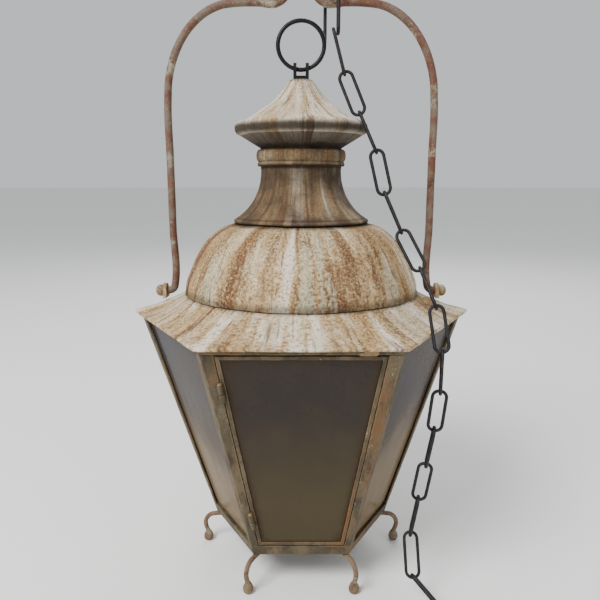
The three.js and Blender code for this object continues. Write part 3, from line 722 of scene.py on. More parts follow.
def roof_surface(profile, segments, dent, shape=None, **values):
    """A sheet roof piece: a profile turned about Z, with flutes or corners from shape, and dents.

    A dent moves a point along its radius and height by dent times a ripple. The field is the same
    on both faces of the sheet.
    """
    angle = np.arange(segments)[:, None] * TAU / segments
    r = np.broadcast_to(profile[None, :, 0], (segments, len(profile)))
    if shape is not None:
        r = shape(angle, r)
    z = np.broadcast_to(profile[None, :, 1], r.shape)
    points = np.stack([r * np.cos(angle), r * np.sin(angle), z], -1)
    push = dent * (ripple(points, 0.09, 3) * 0.6 + ripple(points, 0.03, 8) * 0.25)
    outward = points / np.linalg.norm(points, axis=-1, keepdims=True)
    return shell(points + push[..., None] * outward, wrap=True, **values)


def roof_piece(name, node, skin, *look):
    """One sheet piece of the roof, in its own paint."""
    paint = finish(f"{name}_paint", roof_paint, *look)
    make(f"roof_{name}", [skin], paint, "housing", [node])


class LANTERN_OT_skirt(bpy.types.Operator):
    """The flared skirt: six-sided at its edge and round at the dome's foot, with a rolled rim.

    A point's radius is foot + share (edge(a) - foot), where the share runs from 0 at the dome to 1
    at the rim, and edge(a) = R cos 30 / cos(a mod 60 - 30) is the hexagon, eased at its corners.
    """

    bl_idname = "lantern.skirt"
    bl_label = "Skirt"

    def execute(self, context):
        sizes = context.scene.lantern_sizes
        soft = 0.012
        rim = SKIRT_HIGH[0] - 1.2 * MM
        foot = DOME_HIGH[0] - 0.6 * MM
        low, top = SKIRT_LOW[2], SKIRT_HIGH[2]
        share = np.linspace(0, 1, 44)[:, None]
        rise = low + 4.2 * MM + (top - 0.6 * MM - low - 4.2 * MM) * share**1.35
        sheet = np.concatenate([rim - 1.4 * MM + (foot - rim) * share, rise], 1)
        bead = np.linspace(-2.5, 1.45, 9)[:, None]
        roll = np.concatenate([
            rim - 1.5 * MM + 2.1 * MM * np.cos(bead),
            low + 2.35 * MM + 2.1 * MM * np.sin(bead),
        ], 1)
        profile = np.concatenate([roll, sheet, sheet[::-1] - [0, SHEET]])
        # The underside sheet is marked inside, so it is painted in shade.
        inside = np.concatenate([np.zeros(len(roll) + len(sheet)), np.ones(len(sheet))])
        wear = np.concatenate([np.ones(len(roll)), np.zeros(2 * len(sheet))])

        def plan(angle, r):
            share = np.clip((r - foot) / (rim - foot), 0, 1.02)
            turn = np.abs(angle % SIDE_ANGLE - SIDE_ANGLE / 2)
            ease = soft * np.log1p(np.exp((SIDE_ANGLE / 2 - turn) / soft))
            turn = np.minimum(turn, SIDE_ANGLE / 2 - ease)
            edge = rim * HEX_FLAT / np.cos(turn) - foot
            return np.where(r > foot, foot + share * edge, r)

        skin = roof_surface(profile, 720, sizes.dent, plan, inside=inside[None], wear=wear[None])
        # A band of painted shade and grime where the skirt meets the dome.
        grime_and_shade = [(top, 5 * MM, 0.45)]
        roof_piece("skirt", "skirt", skin, 7.0, 4.0, grime_and_shade, 0.09)
        return {"FINISHED"}


class LANTERN_OT_dome(bpy.types.Operator):
    """The dome: a smooth curve from its foot to the neck, with shallow flutes.

    A flute adds depth (cos(n a) - 1) / 2 to the radius, fading out at the foot and at the top.
    """

    bl_idname = "lantern.dome"
    bl_label = "Dome"

    def execute(self, context):
        sizes = context.scene.lantern_sizes
        low, top = DOME_LOW[2], DOME_HIGH[2]
        foot, tall = DOME_HIGH[0] / MM - 0.4, (top - low) / MM
        guide = [[foot, 2.4], [134, 10.7], [127.8, 28], [119.8, 44.2], [108.6, 60.3], [90.8, 73.6]]
        line = shell_line(smooth_line(above(low, [*guide, [74, tall - 0.4]]), 60), SHEET)
        lip = above(low, [[foot - 2, 0], [foot + 0.3, 0], [foot + 0.4, 1.2]])
        profile = np.concatenate([lip, line])
        # The inner face is marked inside, so it is painted in shade.
        inside = np.zeros(len(profile))
        inside[3 + 60 :] = 1

        def plan(angle, r):
            rise = np.linspace(0, 1, 60)
            swell = np.clip(np.sin(np.pi * np.concatenate([rise, rise[::-1]])) * 1.8, 0, 1)
            swell = np.concatenate([np.zeros(3), swell])
            return r + sizes.flute_depth * (np.cos(sizes.flutes * angle) - 1) / 2 * swell

        skin = roof_surface(profile, 624, sizes.dent, plan, inside=inside[None])
        # Painted shade and grime: a broad darker band at the dome's foot and a band at its top under the neck.
        grime_and_shade = [(low, 14 * MM, 0.6), (top, 5 * MM, 0.8)]
        roof_piece("dome", "dome", skin, 5.0, 4.0, grime_and_shade, -0.03)
        return {"FINISHED"}


class LANTERN_OT_neck(bpy.types.Operator):
    """The neck: a flat foot with an eased lip, a smooth sweep up to the throat, and a beaded collar.

    The collar's beads are r = inner + swell sqrt(1 - ((s - m) / w)^2), for s from -1 to 1 up its
    height: a large one with its middle at m = 0.28 and a small one below it at m = -0.74.
    """

    bl_idname = "lantern.neck"
    bl_label = "Neck and collar"

    def execute(self, context):
        sizes = context.scene.lantern_sizes
        low, top = NECK_LOW[2], NECK_HIGH[2]
        wide, throat, tall = NECK_HIGH[0] / MM - 0.2, 46, (top - low) / MM
        lip = above(low, [[wide - 7, 0], [wide - 0.8, 0], [wide, 0.9], [wide, 2.9], [wide - 0.8, 3.9]])
        guide = [[wide - 2.2, 4.4], [66.2, 11.2], [55.6, 23.6], [48.4, 39.6], [45.6, 57.6]]
        sweep = smooth_line(above(low, [*guide, [throat, 65], [throat, tall]]), 60)
        inner = sweep + [-1.9 * MM, 0]
        inner[:, 1] = np.clip(inner[:, 1] - 1.4 * MM, low + 1.5 * MM, top)
        profile = np.concatenate([lip, sweep, inner[::-1]])
        # The inner face is marked inside, so it is painted in shade.
        inside = np.concatenate([np.zeros(len(lip) + 60), np.ones(60)])
        skin = roof_surface(profile, 240, 0.5 * sizes.dent, inside=inside[None])
        seam, crown = COLLAR_LOW[2], COLLAR_HIGH[2]
        # Bands of painted shade and grime at the neck's foot and lip, below and above the collar, and a broad
        # darkening up the neck.
        grime_and_shade = [(low, 4 * MM, 0.85), (low + 5.4 * MM, 2.4 * MM, 0.5), (seam - 1 * MM, 5 * MM, 0.8),
                 (crown + 2 * MM, 6 * MM, 0.9), (seam, 45 * MM, 0.5)]
        roof_piece("neck", "neck", skin, 4.0, 4.0, grime_and_shade, 0.0, 0.95)

        middle, half = (seam + crown) / 2, (crown - seam) / 2
        hollow = (throat + 0.3) * MM
        s = np.linspace(-1, 1, 49)
        swell = COLLAR_HIGH[0] - hollow - 1.7 * MM
        main = np.sqrt(np.clip(1 - ((s - 0.28) / 0.75) ** 2, 0, 1))
        small = 0.62 * np.sqrt(np.clip(1 - ((s + 0.74) / 0.3) ** 2, 0, 1))
        bead = hollow + 1.2 * MM + 1.1 * swell * np.maximum(main, small)
        profile = np.stack([bead, middle + s * half], 1)
        profile = np.concatenate([profile, [[hollow, middle + half], [hollow, middle - half]]])
        skin = roof_surface(profile, 200, 0.3 * sizes.dent)
        # Bands of painted shade and grime at the collar's seam and crown.
        grime_and_shade = [(seam, 4 * MM, 0.9), (crown, 3 * MM, 0.7)]
        roof_piece("collar", "neck_collar", skin, 4.0, 5.0, grime_and_shade, -0.03, 0.9)
        return {"FINISHED"}


class LANTERN_OT_cap(bpy.types.Operator):
    """The cap: a shallow dish below, a rolled edge, and a hollow cone above that flattens outwards."""

    bl_idname = "lantern.cap"
    bl_label = "Cap"

    def execute(self, context):
        sizes = context.scene.lantern_sizes
        low, top = CAP_LOW[2], CAP_HIGH[2]
        edge, tall, hole = CAP_HIGH[0] / MM - 0.3, (top - low) / MM, 4.6
        under = [[46.6, 0], [57, 6.2], [68, 13]]
        roll = [[68, 13], [edge - 1.4, 16.2], [edge, 20], [edge - 0.9, 25.4], [edge - 4.4, 28]]
        cone = [[edge - 6.6, 27.8], [60, 31.6], [45.2, 41], [32.6, 49.2], [21.2, 62], [13.4, tall - 0.8]]
        under = smooth_line(above(low, under), 14)
        outer = np.concatenate([
            under,
            smooth_line(above(low, roll), 18)[1:],
            smooth_line(above(low, cone), 44)[1:],
            above(low, [[12, tall - 0.1], [hole, tall - 0.1]]),
        ])
        inner = [[hole, tall - 2.4], [11, tall - 2.6], [19, 60], [31, 47], [44, 38.6], [59, 29.4]]
        inner = above(low, [*inner, [edge - 3.6, 24], [edge - 2.8, 20], [66, 15], [46.6, 2.4]])
        profile = np.concatenate([outer, inner])
        # The inner faces and the outer dish underneath are marked inside: painted shade under the cap.
        inside = np.concatenate([np.zeros(len(outer)), np.ones(len(inner))])
        inside[: len(under)] = np.linspace(1, 0.85, len(under))
        skin = roof_surface(profile, 240, 0.7 * sizes.dent, inside=inside[None])
        # Painted shade and grime under the cap, at its rolled rim and at its top.
        grime_and_shade = [(low, 17 * MM, 1.0), (low + 19 * MM, 12 * MM, 0.95), (top, 5 * MM, 0.6)]
        roof_piece("cap", "cap", skin, 4.0, 6.0, grime_and_shade, 0.16)
        return {"FINISHED"}


class LANTERN_OT_disk(bpy.types.Operator):
    """The stepped disk on the skirt: rings and grooves turned about the disk's own axis."""

    bl_idname = "lantern.disk"
    bl_label = "Roof disk"

    def execute(self, context):
        points = points_of("roof_disk")
        centre = (points.min(0) + points.max(0)) / 2
        _, _, axes = np.linalg.svd(points - points.mean(0), full_matrices=False)
        normal = axes[2] * np.sign(axes[2][2])
        low = ((points - centre) @ normal).min()
        x = np.cross(normal, UP)
        x /= np.linalg.norm(x)
        r = [0, 6.9, 7.3, 7.2, 6.4, 5.8, 5.5, 5.1, 4.6, 3.6, 3.2, 2.8, 2.2, 1.4, 0]
        z = [0, 0, 0.5, 1.2, 1.8, 1.9, 1.5, 1.4, 1.8, 2.3, 2.1, 2.2, 2.9, 3.2, 3.3]
        profile = smooth_line(lathe(low, r, z), 50)
        profile[[0, -1], 0] = 0
        disk = turned(profile, 60, centre, [x, np.cross(normal, x), normal])
        brass = finish("dull_brass", dull_brass)
        make("roof_rosette", [disk], brass, "housing", ["roof_disk"])
        return {"FINISHED"}


# ---- body ----


class LANTERN_OT_rails(bpy.types.Operator):
    """The top and bottom rails: eased sections carried round six straight sides."""

    bl_idname = "lantern.rails"
    bl_label = "Rails"

    def execute(self, context):
        ease = context.scene.lantern_sizes.edge
        low, top = RAIL_LOW[2], RAIL_HIGH[2]
        depth = 10 * MM
        section, wear = eased([
            [body_r(low), low],
            [body_r(top), top],
            [body_r(top) - depth, top],
            [body_r(low) - depth, low],
        ], ease)
        metal = finish("rail_metal", aged_strip, 10.0)
        upper = six_sided(section, wear=wear[None])
        make("top_rail", [upper], metal, "housing", ["top_frame"])
        low, top = BASE_LOW[2], BASE_HIGH[2]
        section, wear = eased([
            [body_r(low), low],
            [body_r(top), top],
            [95 * MM, top],
            [95 * MM, low + 4 * MM],
            [88 * MM, low + 4 * MM],
            [88 * MM, low],
        ], ease)
        lower = six_sided(section, wear=wear[None])
        make("bottom_rail", [lower], metal, "housing", ["bottom_frame"])
        return {"FINISHED"}


def hinge_axes():
    """The hinge line's origin and its directions: towards the door, into the lantern, and up."""
    place, down = joint("door_swing")
    up = -down / np.linalg.norm(down)
    out = side_frame(FRONT, 0)[3]
    across = np.cross(-out, up)
    across /= np.linalg.norm(across)
    return place, np.stack([across, np.cross(up, across), up])


def hinge_half(pin, side):
    """Half a hinge's barrel, a turned tube with eased rims, and the eased web that ties it."""
    place, axes = hinge_axes()
    up = axes[2]
    points = points_of(pin)
    centre = place + up * ((points @ up).min() + 10.6 * MM - place @ up)
    low, top = (0.3 * MM, 10 * MM) if side > 0 else (-10 * MM, -0.3 * MM)
    tube, _ = eased([[1.75 * MM, low], [2.85 * MM, low], [2.85 * MM, top], [1.75 * MM, top]], 0.4 * MM)
    barrel = turned(tube, 32, centre, axes)
    x0, x1 = (1.9 * MM, 3.3 * MM) if side > 0 else (-3.3 * MM, -1.9 * MM)
    web, _ = eased([[x0, low], [x1, low], [x1, top], [x0, top]], 0.3 * MM)
    rows = [np.stack([web[:, 0], np.full(len(web), y), web[:, 1]], 1) for y in (0.6 * MM, 4.3 * MM)]
    return [barrel, stacked(rows, centre, axes)]


class LANTERN_OT_strips(bpy.types.Operator):
    """The six bent corner strips. Each is an eased L section whose size follows the body's radius,
    with a slight unevenness; the front left one carries the hinges' fixed halves."""

    bl_idname = "lantern.strips"
    bl_label = "Corner strips"

    def execute(self, context):
        ease = context.scene.lantern_sizes.edge
        low, top = corners("corner_strip_1")[0][2], corners("corner_strip_1")[1][2]
        r, wide, thick = body_r(top), STRIP_WIDTH, 3 * MM
        arms = []
        for sign in (-1, 1):
            tip = [r - wide / 2, sign * wide * HEX_FLAT]
            arms.append([tip, [tip[0] - thick * HEX_FLAT, tip[1] - sign * thick / 2]])
        (tip_a, in_a), (tip_b, in_b) = arms
        outline = [[r, 0], tip_b, in_b, [r - thick / HEX_FLAT, 0], in_a, tip_a]
        section, wear = eased(outline, ease)
        z = np.linspace(low, top, 90)[:, None, None]
        points = raised(section[None] * (body_r(z) / r), z)
        for corner in range(SIDES):
            turn = at_corner(corner)
            strip = points @ turn
            strip += 0.14 * MM * ripple(strip, 0.02, corner)[..., None] * turn[0]
            shells = [shell(strip, wear=wear[None])]
            if corner == FRONT:
                shells += hinge_half("door_pin_lower", -1) + hinge_half("door_pin_upper", -1)
            metal = finish(f"strip_metal_{corner + 1}", aged_strip, 20.0 + 7 * corner)
            node = f"corner_strip_{corner + 1}"
            make(f"corner_bar_{corner + 1}", shells, metal, "housing", [node])
        return {"FINISHED"}


def sheet_of_glass(side, z0, z1, edge, back, thick):
    """A pane: eased rectangular sections whose width follows the side, stacked up the slope."""
    origin, along, up, out = side_frame(side, z0)
    rise = (z1 - z0) / math.cos(FACE_TILT)
    rows, wears = [], []
    for share in np.concatenate([[0, 0.02, 0.06], np.linspace(0.12, 0.88, 20), [0.94, 0.98, 1]]):
        z = z0 + share * (z1 - z0)
        half = body_r(z) / 2 - edge(z)
        box = [[-half, back], [half, back], [half, back + thick], [-half, back + thick]]
        line, wear = eased(box, 0.5 * MM)
        rows.append(np.stack([line[:, 0], np.full(len(line), share * rise), line[:, 1]], 1))
        wears.append(np.maximum(wear, 1 - min(share, 1 - share) / 0.04))
    return stacked(rows, origin, [along, up, out], wear=np.clip(wears, 0, 1))


class LANTERN_OT_panes(bpy.types.Operator):
    """The five fixed panes of glass, behind the corner strips."""

    bl_idname = "lantern.panes"
    bl_label = "Glass panes"

    def execute(self, context):
        low = BASE_HIGH[2] + 1.2 * MM
        top = RAIL_LOW[2] - 2 * MM
        for side in range(SIDES):
            if side != FRONT:
                pane = sheet_of_glass(side, low, top, lambda z: 4.6 * MM, -6.4 * MM, 3 * MM)
                # The sand colour paints the ground seen through the lower glass, with dust.
                glass = finish(f"pane_glass_{side + 1}", dusty_glass, 11.0 * side, 0.86, "haze", "sand")
                make(f"pane_{side + 1}", [pane], glass, "housing", [f"glass_pane_{side + 1}"])
        return {"FINISHED"}


class LANTERN_OT_door(bpy.types.Operator):
    """The door: a mitred frame of eased bars with its hinge halves, and its own glass."""

    bl_idname = "lantern.door"
    bl_label = "Door"

    def execute(self, context):
        low, top = BASE_HIGH[2] + 1.2 * MM, RAIL_LOW[2] - 1.6 * MM
        border, thick, gap = 4 * MM, 5 * MM, 0.8 * MM
        origin, along, up, out = side_frame(FRONT, low)
        rise = (top - low) / math.cos(FACE_TILT)

        def edge(z):
            return strip_width(z) + gap

        wide_low, wide_top = body_r(low) / 2 - edge(low), body_r(top) / 2 - edge(top)
        loop = [origin - wide_low * along, origin + wide_low * along]
        loop += [origin + wide_top * along + rise * up, origin - wide_top * along + rise * up]
        bar = [[0, -thick], [border, -thick], [border, 0], [0, 0]]
        section, wear = eased(bar, context.scene.lantern_sizes.edge)
        shells = [framed(loop, section, out, wear=wear[None])]
        shells += hinge_half("door_pin_lower", 1) + hinge_half("door_pin_upper", 1)
        metal = finish("door_metal", aged_strip, 3.0)
        make("door_bars", shells, metal, "door", ["door_frame"])
        inset = border + 0.3 * MM
        pane = sheet_of_glass(FRONT, low + inset, top - inset, lambda z: edge(z) + inset, -4.2 * MM, 3 * MM)
        # The dust colour paints the lantern's floor seen through the lower glass, with dust.
        glass = finish("door_pane_glass", dusty_glass, 77.0, 0.88)
        make("door_pane", [pane], glass, "door", ["door_glass"])
        return {"FINISHED"}


class LANTERN_OT_catch(bpy.types.Operator):
    """The hinge pins, turned with domed heads, and the turn button: a stadium plate whose outline
    is eased top and bottom, under a turned rivet head."""

    bl_idname = "lantern.catch"
    bl_label = "Pins and turn button"

    def execute(self, context):
        brass = finish("catch_brass", dull_brass, 0.2)
        place, axes = hinge_axes()
        up = axes[2]
        for pin in ("door_pin_lower", "door_pin_upper"):
            low = (points_of(pin) @ up).min() - place @ up
            r = [0, 1.1, 1.4, 1.4, 2.2, 2.4, 2.2, 1.4, 0]
            z = [0.1, 0.1, 0.5, 20.9, 20.9, 21.5, 22.3, 22.7, 22.8]
            turning = turned(lathe(low, r, z), 28, place, axes)
            make(pin.replace("door_pin", "hinge_pin"), [turning], brass, "housing", [pin])
        origin = joint("button_turn")[0]
        _, along, up, out = side_frame(FRONT, 0)
        wide, reach = 3.2 * MM, 13 * MM
        angle = np.linspace(0, TAU, 48, endpoint=False)
        rows = []
        for shrink, high in ((0.35, 0.3), (0.1, 0.35), (0, 0.7), (0, 1.7), (0.1, 2.0), (0.4, 2.1)):
            r = wide - shrink * MM
            x = r * np.cos(angle) + np.where(np.cos(angle) > 0, reach, 0)
            rows.append(np.stack([x, r * np.sin(angle), np.full(48, high * MM)], 1))
        plate = stacked(rows, origin, [along, up, out])
        profile = lathe(0, [0, 2.3, 2.3, 2.0, 1.2, 0], [1.9, 1.9, 2.7, 3.3, 3.75, 3.85])
        rivet = turned(profile, 28, origin, [along, up, out])
        make("turn_button_plate", [plate, rivet], brass, "button", ["turn_button"])
        return {"FINISHED"}


class LANTERN_OT_floor_plate(bpy.types.Operator):
    """The lantern's floor: a thin six-sided plate with an eased edge."""

    bl_idname = "lantern.floor_plate"
    bl_label = "Floor plate"

    def execute(self, context):
        low, high = corners("floor_plate")
        reach = high[0] - 0.1 * MM
        way = np.linspace(0.02, 0.994, 26)
        share = np.concatenate([way, [1, 1], way[::-1]])[:, None, None]
        edge = [low[2] + 0.4 * MM, high[2] - 0.4 * MM]
        level = np.concatenate([np.full(26, low[2]), edge, np.full(26, high[2])])
        plate = shell(raised(hexagon_of(20).reshape(1, -1, 2) * share * reach, level[:, None, None]))
        tin = finish("floor_tin", floor_tin)
        make("lantern_floor", [plate], tin, "housing", ["floor_plate"])
        return {"FINISHED"}


class LANTERN_OT_feet(bpy.types.Operator):
    """The six feet: a bar bent down from the base, whose radius swells into a pear-shaped ball."""

    bl_idname = "lantern.feet"
    bl_label = "Feet"

    def execute(self, context):
        rod = context.scene.lantern_sizes.foot_rod
        route = np.array([[98, 36.8], [108, 36.7], [115.5, 35], [120.6, 30], [122.4, 24], [121.4, 18],
                          [119.4, 12], [119, 8]]) * MM
        line = smooth_line(route, 60)
        path = np.stack([line[:, 0], np.zeros(60), line[:, 1]], 1)
        bar = swept(path, rod, np.array([0.0, 1, 0]), 18)
        pear = lathe(0, [3.2, 5.2, 6, 5.3, 3.7, 2.6], [0, 1.6, 4.8, 8.4, 11.6, 13.4])
        pear = smooth_line(pear, 26)
        pear = np.concatenate([[[0, 0]], pear, [[0, 13.6 * MM]]])
        ball = turned(pear, 32, [119 * MM, 0, 0])
        metal = finish("foot_rust", rusted_rod, 0.0, 0.6)
        for corner in range(SIDES):
            turn = at_corner(corner)
            shells = [(points @ turn, faces, layers) for points, faces, layers in (bar, ball)]
            make(f"ball_foot_{corner + 1}", shells, metal, "housing", [f"foot_{corner + 1}"])
        return {"FINISHED"}


# ---- top ----


def eased_copy(name, node, material, body, width):
    """A merged copy of a flat-sided CAD node with eased edges."""
    piece = new_object(name, frame["nodes"][node].data.copy())
    piece.data.materials.clear()
    piece.data.materials.append(material)
    weld = piece.modifiers.new("Merge", "WELD")
    weld.merge_threshold = 0.01 * MM
    flat = piece.modifiers.new("Flat faces", "DECIMATE")
    flat.decimate_type = "DISSOLVE"
    flat.angle_limit = math.radians(4)
    bevel = piece.modifiers.new("Eased edges", "BEVEL")
    bevel.width = width
    bevel.segments = 3
    bevel.limit_method = "ANGLE"
    bevel.angle_limit = math.radians(35)
    bevel.use_clamp_overlap = True
    piece.data.polygons.foreach_set("use_smooth", [True] * len(piece.data.polygons))
    finished(piece, body, [node])


class LANTERN_OT_clevis(bpy.types.Operator):
    """The clevis and the stem with its stop, below the ring."""

    bl_idname = "lantern.clevis"
    bl_label = "Clevis and stem"

    def execute(self, context):
        iron = finish("black_iron", black_iron)
        eased_copy("ring_clevis", "clevis", iron, "stem", 0.6 * MM)
        low, high = corners("ring_stem")
        tall = (high[2] - low[2]) / MM
        r = [0, 3.4, 3.95, 3.95, 8.4, 8.9, 8.9, 8.4, 3.95, 3.95, 0]
        z = [0, 0, 0.6, 4, 4, 4.5, 9.5, 10, 10, tall, tall]
        stem = turned(lathe(low[2], r, z), 32)
        make("stem_and_stop", [stem], iron, "stem", ["ring_stem"])
        return {"FINISHED"}


class LANTERN_OT_ring(bpy.types.Operator):
    """The forged top ring: a circle of wire whose radius is uneven by a ripple."""

    bl_idname = "lantern.ring"
    bl_label = "Top ring"

    def execute(self, context):
        wire = context.scene.lantern_sizes.ring_wire
        low, high = corners("top_ring")
        middle = (low + high) / 2
        reach = (high[2] - low[2]) / 2 - 2.5 * MM
        angle = np.arange(144) * TAU / 144
        path = middle + reach * np.stack([np.cos(angle), 0 * angle, np.sin(angle)], 1)
        uneven = wire + 0.18 * MM * np.clip(ripple(path, 0.02, 4), -1, 0.8)
        ring = swept(path, uneven, np.array([0.0, 1, 0]), 20, wrap=True)
        iron = finish("ring_iron", black_iron)
        make("hanging_ring", [ring], iron, "ring", ["top_ring"])
        return {"FINISHED"}


def arc(cx, cz, rx, rz, start, end, count):
    """Points of an ellipse's arc in the XZ plane."""
    angle = np.linspace(start, end, count + 1)
    return np.stack([cx + rx * np.cos(angle), cz + rz * np.sin(angle)], 1)


class LANTERN_OT_bail(bpy.types.Operator):
    """The bail: a bar bent from one pivot up, over two shoulders and round a middle loop, with its
    two knobs. The right half is a smooth line through arcs and straights, and is mirrored."""

    bl_idname = "lantern.bail"
    bl_label = "Bail and knobs"

    def execute(self, context):
        rod = context.scene.lantern_sizes.bail_rod
        pivot = joint("bail_swing")[0][2] / MM
        quarter = math.pi / 2
        arch, shoulder, arm, turn = 542, 644, 149, 72
        half = np.concatenate([
            [[163.2, pivot], [160, pivot]],
            arc(arm + 8, pivot + 8, 8, 8, -quarter, -2 * quarter, 4),
            [[arm, 400], [arm, 480]],
            arc(turn, arch, arm - turn, shoulder - arch, 0, quarter, 7),
            [[48, shoulder + 0.6], [26, shoulder], [18.4, shoulder + 5]],
            arc(0, 663.7, 15.5, 15.5, -0.2, quarter, 5),
        ]) * MM
        line = smooth_line(np.concatenate([half, half[-2::-1] * [-1, 1]]), 620)
        path = np.stack([line[:, 0], np.zeros(620), line[:, 1]], 1)
        free = np.clip((np.abs(line[:, 1] - pivot * MM) - 14 * MM) / (30 * MM), 0, 1)
        path[:, 1] += 0.12 * MM * free * ripple(path, 0.07, 6)
        uneven = rod - 0.12 * MM * free * (1 + ripple(path, 0.03, 9))
        bar = swept(path, uneven, np.array([0.0, 1, 0]), 20)
        rust = finish("bail_rust", rusted_rod, 0.03)
        make("bail_bar", [bar], rust, "bail", ["bail"])
        for name, side in (("right", 1), ("left", -1)):
            low, high = corners(f"bail_knob_{name}")
            inner = low[0] if side > 0 else -high[0]
            r = [0, 6.2, 6.7, 6.9, 6.6, 5.9, 5.0, 3.6, 1.8, 0]
            x = [0, 0, 0.6, 2.5, 4.6, 6, 7, 7.8, 8.4, 8.6]
            centre, axes = [0, 0, pivot * MM], [[0, 1, 0], [0, 0, 1], [side, 0, 0]]
            knob = turned(lathe(inner, r, x), 40, centre, axes)
            cream = finish("knob_paint", roof_paint, 5.0, 9.0, (), 0.05, 0.6)
            node = f"bail_knob_{name}"
            make(f"pivot_knob_{name}", [knob], cream, "bail", [node])
        return {"FINISHED"}


class LANTERN_OT_lugs(bpy.types.Operator):
    """The two ears on the skirt that the bail turns in."""

    bl_idname = "lantern.lugs"
    bl_label = "Bail lugs"

    def execute(self, context):
        paint = finish("lug_paint", roof_paint, 4.0, 9.0, (), 0.0, 0.35)
        for name in ("right", "left"):
            node = f"bail_lug_{name}"
            eased_copy(f"pivot_ear_{name}", node, paint, "housing", 0.5 * MM)
        return {"FINISHED"}


class LANTERN_OT_lamp(bpy.types.Operator):
    """The lamp's bracket and porcelain holder, hung in the roof."""

    bl_idname = "lantern.lamp"
    bl_label = "Lamp fitting"

    def execute(self, context):
        iron = finish("bracket_iron", black_iron)
        eased_copy("holder_bracket", "lamp_bracket", iron, "housing", 0.5 * MM)
        low = corners("lampholder")[0][2]
        r = [0, 13.4, 13.6, 13.6, 14.2, 18.6, 19.4, 19.4, 18.8, 15, 9.4, 8, 8, 0]
        z = [28, 28, 27.4, 0.8, 0.05, 0.05, 0.9, 29.4, 31, 38, 41.6, 43, 50, 50]
        holder = turned(lathe(low, r, z), 64)
        glaze = finish("porcelain", porcelain)
        make("porcelain_holder", [holder], glaze, "housing", ["lampholder"])
        return {"FINISHED"}


class LANTERN_OT_chain(bpy.types.Operator):
    """The chain: each link is a stadium of round wire with a small weld.

    A link's middle, length and width come from the middle and the main directions of its CAD node.
    """

    bl_idname = "lantern.chain"
    bl_label = "Chain"

    def execute(self, context):
        wire = context.scene.lantern_sizes.chain_wire
        steel = finish("chain_steel", chain_steel)
        listed = frame["record"]["behaviour"]["bodies"]
        bodies = {node: body for body, nodes in listed.items() for node in nodes}
        for node in sorted(n for n in frame["nodes"] if n.startswith("chain_link")):
            points = points_of(node)
            centre = (points.mean(0) * 2 + points.min(0) + points.max(0)) / 4
            _, _, axes = np.linalg.svd(points - centre, full_matrices=False)
            long_way = np.ptp((points - centre) @ axes[0]) / 2
            wide_way = np.ptp((points - centre) @ axes[1]) / 2
            turn = wide_way - CHAIN_CAD_WIRE
            straight = long_way - CHAIN_CAD_WIRE - turn
            angle = np.linspace(0, math.pi, 15)
            ends = np.stack([turn * np.cos(angle), straight + turn * np.sin(angle)], 1)
            sides = np.linspace(-straight, straight, 14)[1:-1]
            right = np.stack([np.full(12, turn), sides], 1)
            loop = np.concatenate([right, ends, -right, -ends])
            path = centre + loop[:, :1] * axes[1] + loop[:, 1:] * axes[0]
            weld = 0.25 * MM * np.exp(-((loop[:, 1] / (3 * MM)) ** 2)) * (loop[:, 0] > 0)
            seed = int(node[-2:])
            uneven = wire - 0.05 * MM * (1 + ripple(path, 0.012, seed)) + 0.2 * weld
            link = swept(path, uneven, axes[2], 12, wrap=True)
            make(node.replace("chain_link", "link"), [link], steel, bodies[node], [node])
        return {"FINISHED"}


# ---- studio ----


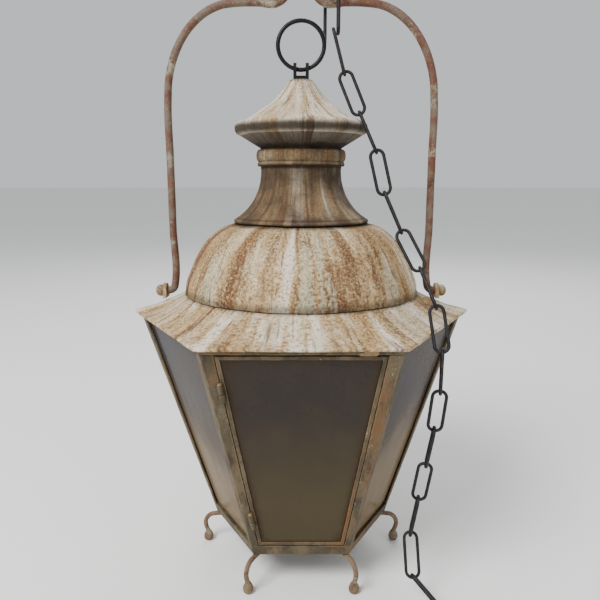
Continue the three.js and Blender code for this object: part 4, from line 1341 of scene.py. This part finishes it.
class LANTERN_OT_stage(bpy.types.Operator):
    """The studio: a wide pale floor, soft lights and the camera."""

    bl_idname = "lantern.stage"
    bl_label = "Studio"

    def execute(self, context):
        scene = context.scene
        reach = np.array([0.3, 0.8, 2, 6, 18, 45, 45, 0.3])
        level = np.array([0, 0, 0, 0, 0, 0, -0.02, -0.02]) - 0.0001
        flat = circle_of(96)[None] * reach[:, None, None]
        vertices, faces, _ = shell(raised(flat, level[:, None, None]))
        mesh = bpy.data.meshes.new("studio_floor")
        mesh.from_pydata(vertices.tolist(), [], faces)
        mesh.materials.append(finish("studio_floor", pale_floor))
        new_object("studio_floor", mesh)

        world = bpy.data.worlds.new("studio")
        world.use_nodes = True
        world.node_tree.nodes["Background"].inputs["Color"].default_value = (0.86, 0.88, 0.9, 1)
        world.node_tree.nodes["Background"].inputs["Strength"].default_value = 0.78
        scene.world = world
        for name, place, size, power in (
            ("key", (-1.3, -1.5, 2.3), 1.2, 108),
            ("fill", (1.9, -1.7, 1.2), 1.8, 10),
            ("rim", (0.4, 2.0, 2.0), 1.6, 26),
        ):
            data = bpy.data.lights.new(name, "AREA")
            data.size = size
            data.energy = power
            light = new_object(name, data)
            light.location = place
            way = np.array(place) - [0, 0, 0.36]
            light.rotation_euler = (
                math.atan2(math.hypot(way[0], way[1]), way[2]),
                0,
                math.atan2(way[1], way[0]) + math.pi / 2,
            )

        lens = bpy.data.cameras.new("camera")
        lens.lens = 36
        lens.sensor_width = 36
        camera = new_object("camera", lens)
        camera.location = (-0.0012, -0.702, 0.454)
        camera.rotation_euler = (math.radians(78.8), 0, 0)
        scene.camera = camera
        return {"FINISHED"}


OPERATORS = (
    LANTERN_OT_skirt,
    LANTERN_OT_dome,
    LANTERN_OT_neck,
    LANTERN_OT_cap,
    LANTERN_OT_disk,
    LANTERN_OT_rails,
    LANTERN_OT_strips,
    LANTERN_OT_panes,
    LANTERN_OT_door,
    LANTERN_OT_catch,
    LANTERN_OT_floor_plate,
    LANTERN_OT_feet,
    LANTERN_OT_clevis,
    LANTERN_OT_ring,
    LANTERN_OT_bail,
    LANTERN_OT_lugs,
    LANTERN_OT_lamp,
    LANTERN_OT_chain,
    LANTERN_OT_stage,
)


class LANTERN_PT_panel(bpy.types.Panel):
    """The lantern's sizes, colours and pieces in the sidebar."""

    bl_idname = "LANTERN_PT_panel"
    bl_label = "Hanging Lantern"
    bl_space_type = "VIEW_3D"
    bl_region_type = "UI"
    bl_category = "Lantern"

    def draw(self, context):
        for group in (context.scene.lantern_sizes, context.scene.lantern_colours):
            box = self.layout.box()
            for key in group.__annotations__:
                box.prop(group, key)
        for operator in OPERATORS:
            self.layout.operator(operator.bl_idname)


CLASSES = (LanternSizes, LanternColours, *OPERATORS, LANTERN_PT_panel)


def register():
    for item in CLASSES:
        bpy.utils.register_class(item)
    bpy.types.Scene.lantern_sizes = PointerProperty(type=LanternSizes)
    bpy.types.Scene.lantern_colours = PointerProperty(type=LanternColours)


def unregister():
    del bpy.types.Scene.lantern_colours
    del bpy.types.Scene.lantern_sizes
    for item in reversed(CLASSES):
        bpy.utils.unregister_class(item)


def main():
    """Builds every piece and the studio."""
    register()
    for operator in OPERATORS:
        group, name = operator.bl_idname.split(".")
        getattr(getattr(bpy.ops, group), name)()
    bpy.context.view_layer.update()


if __name__ == "__main__":
    main()
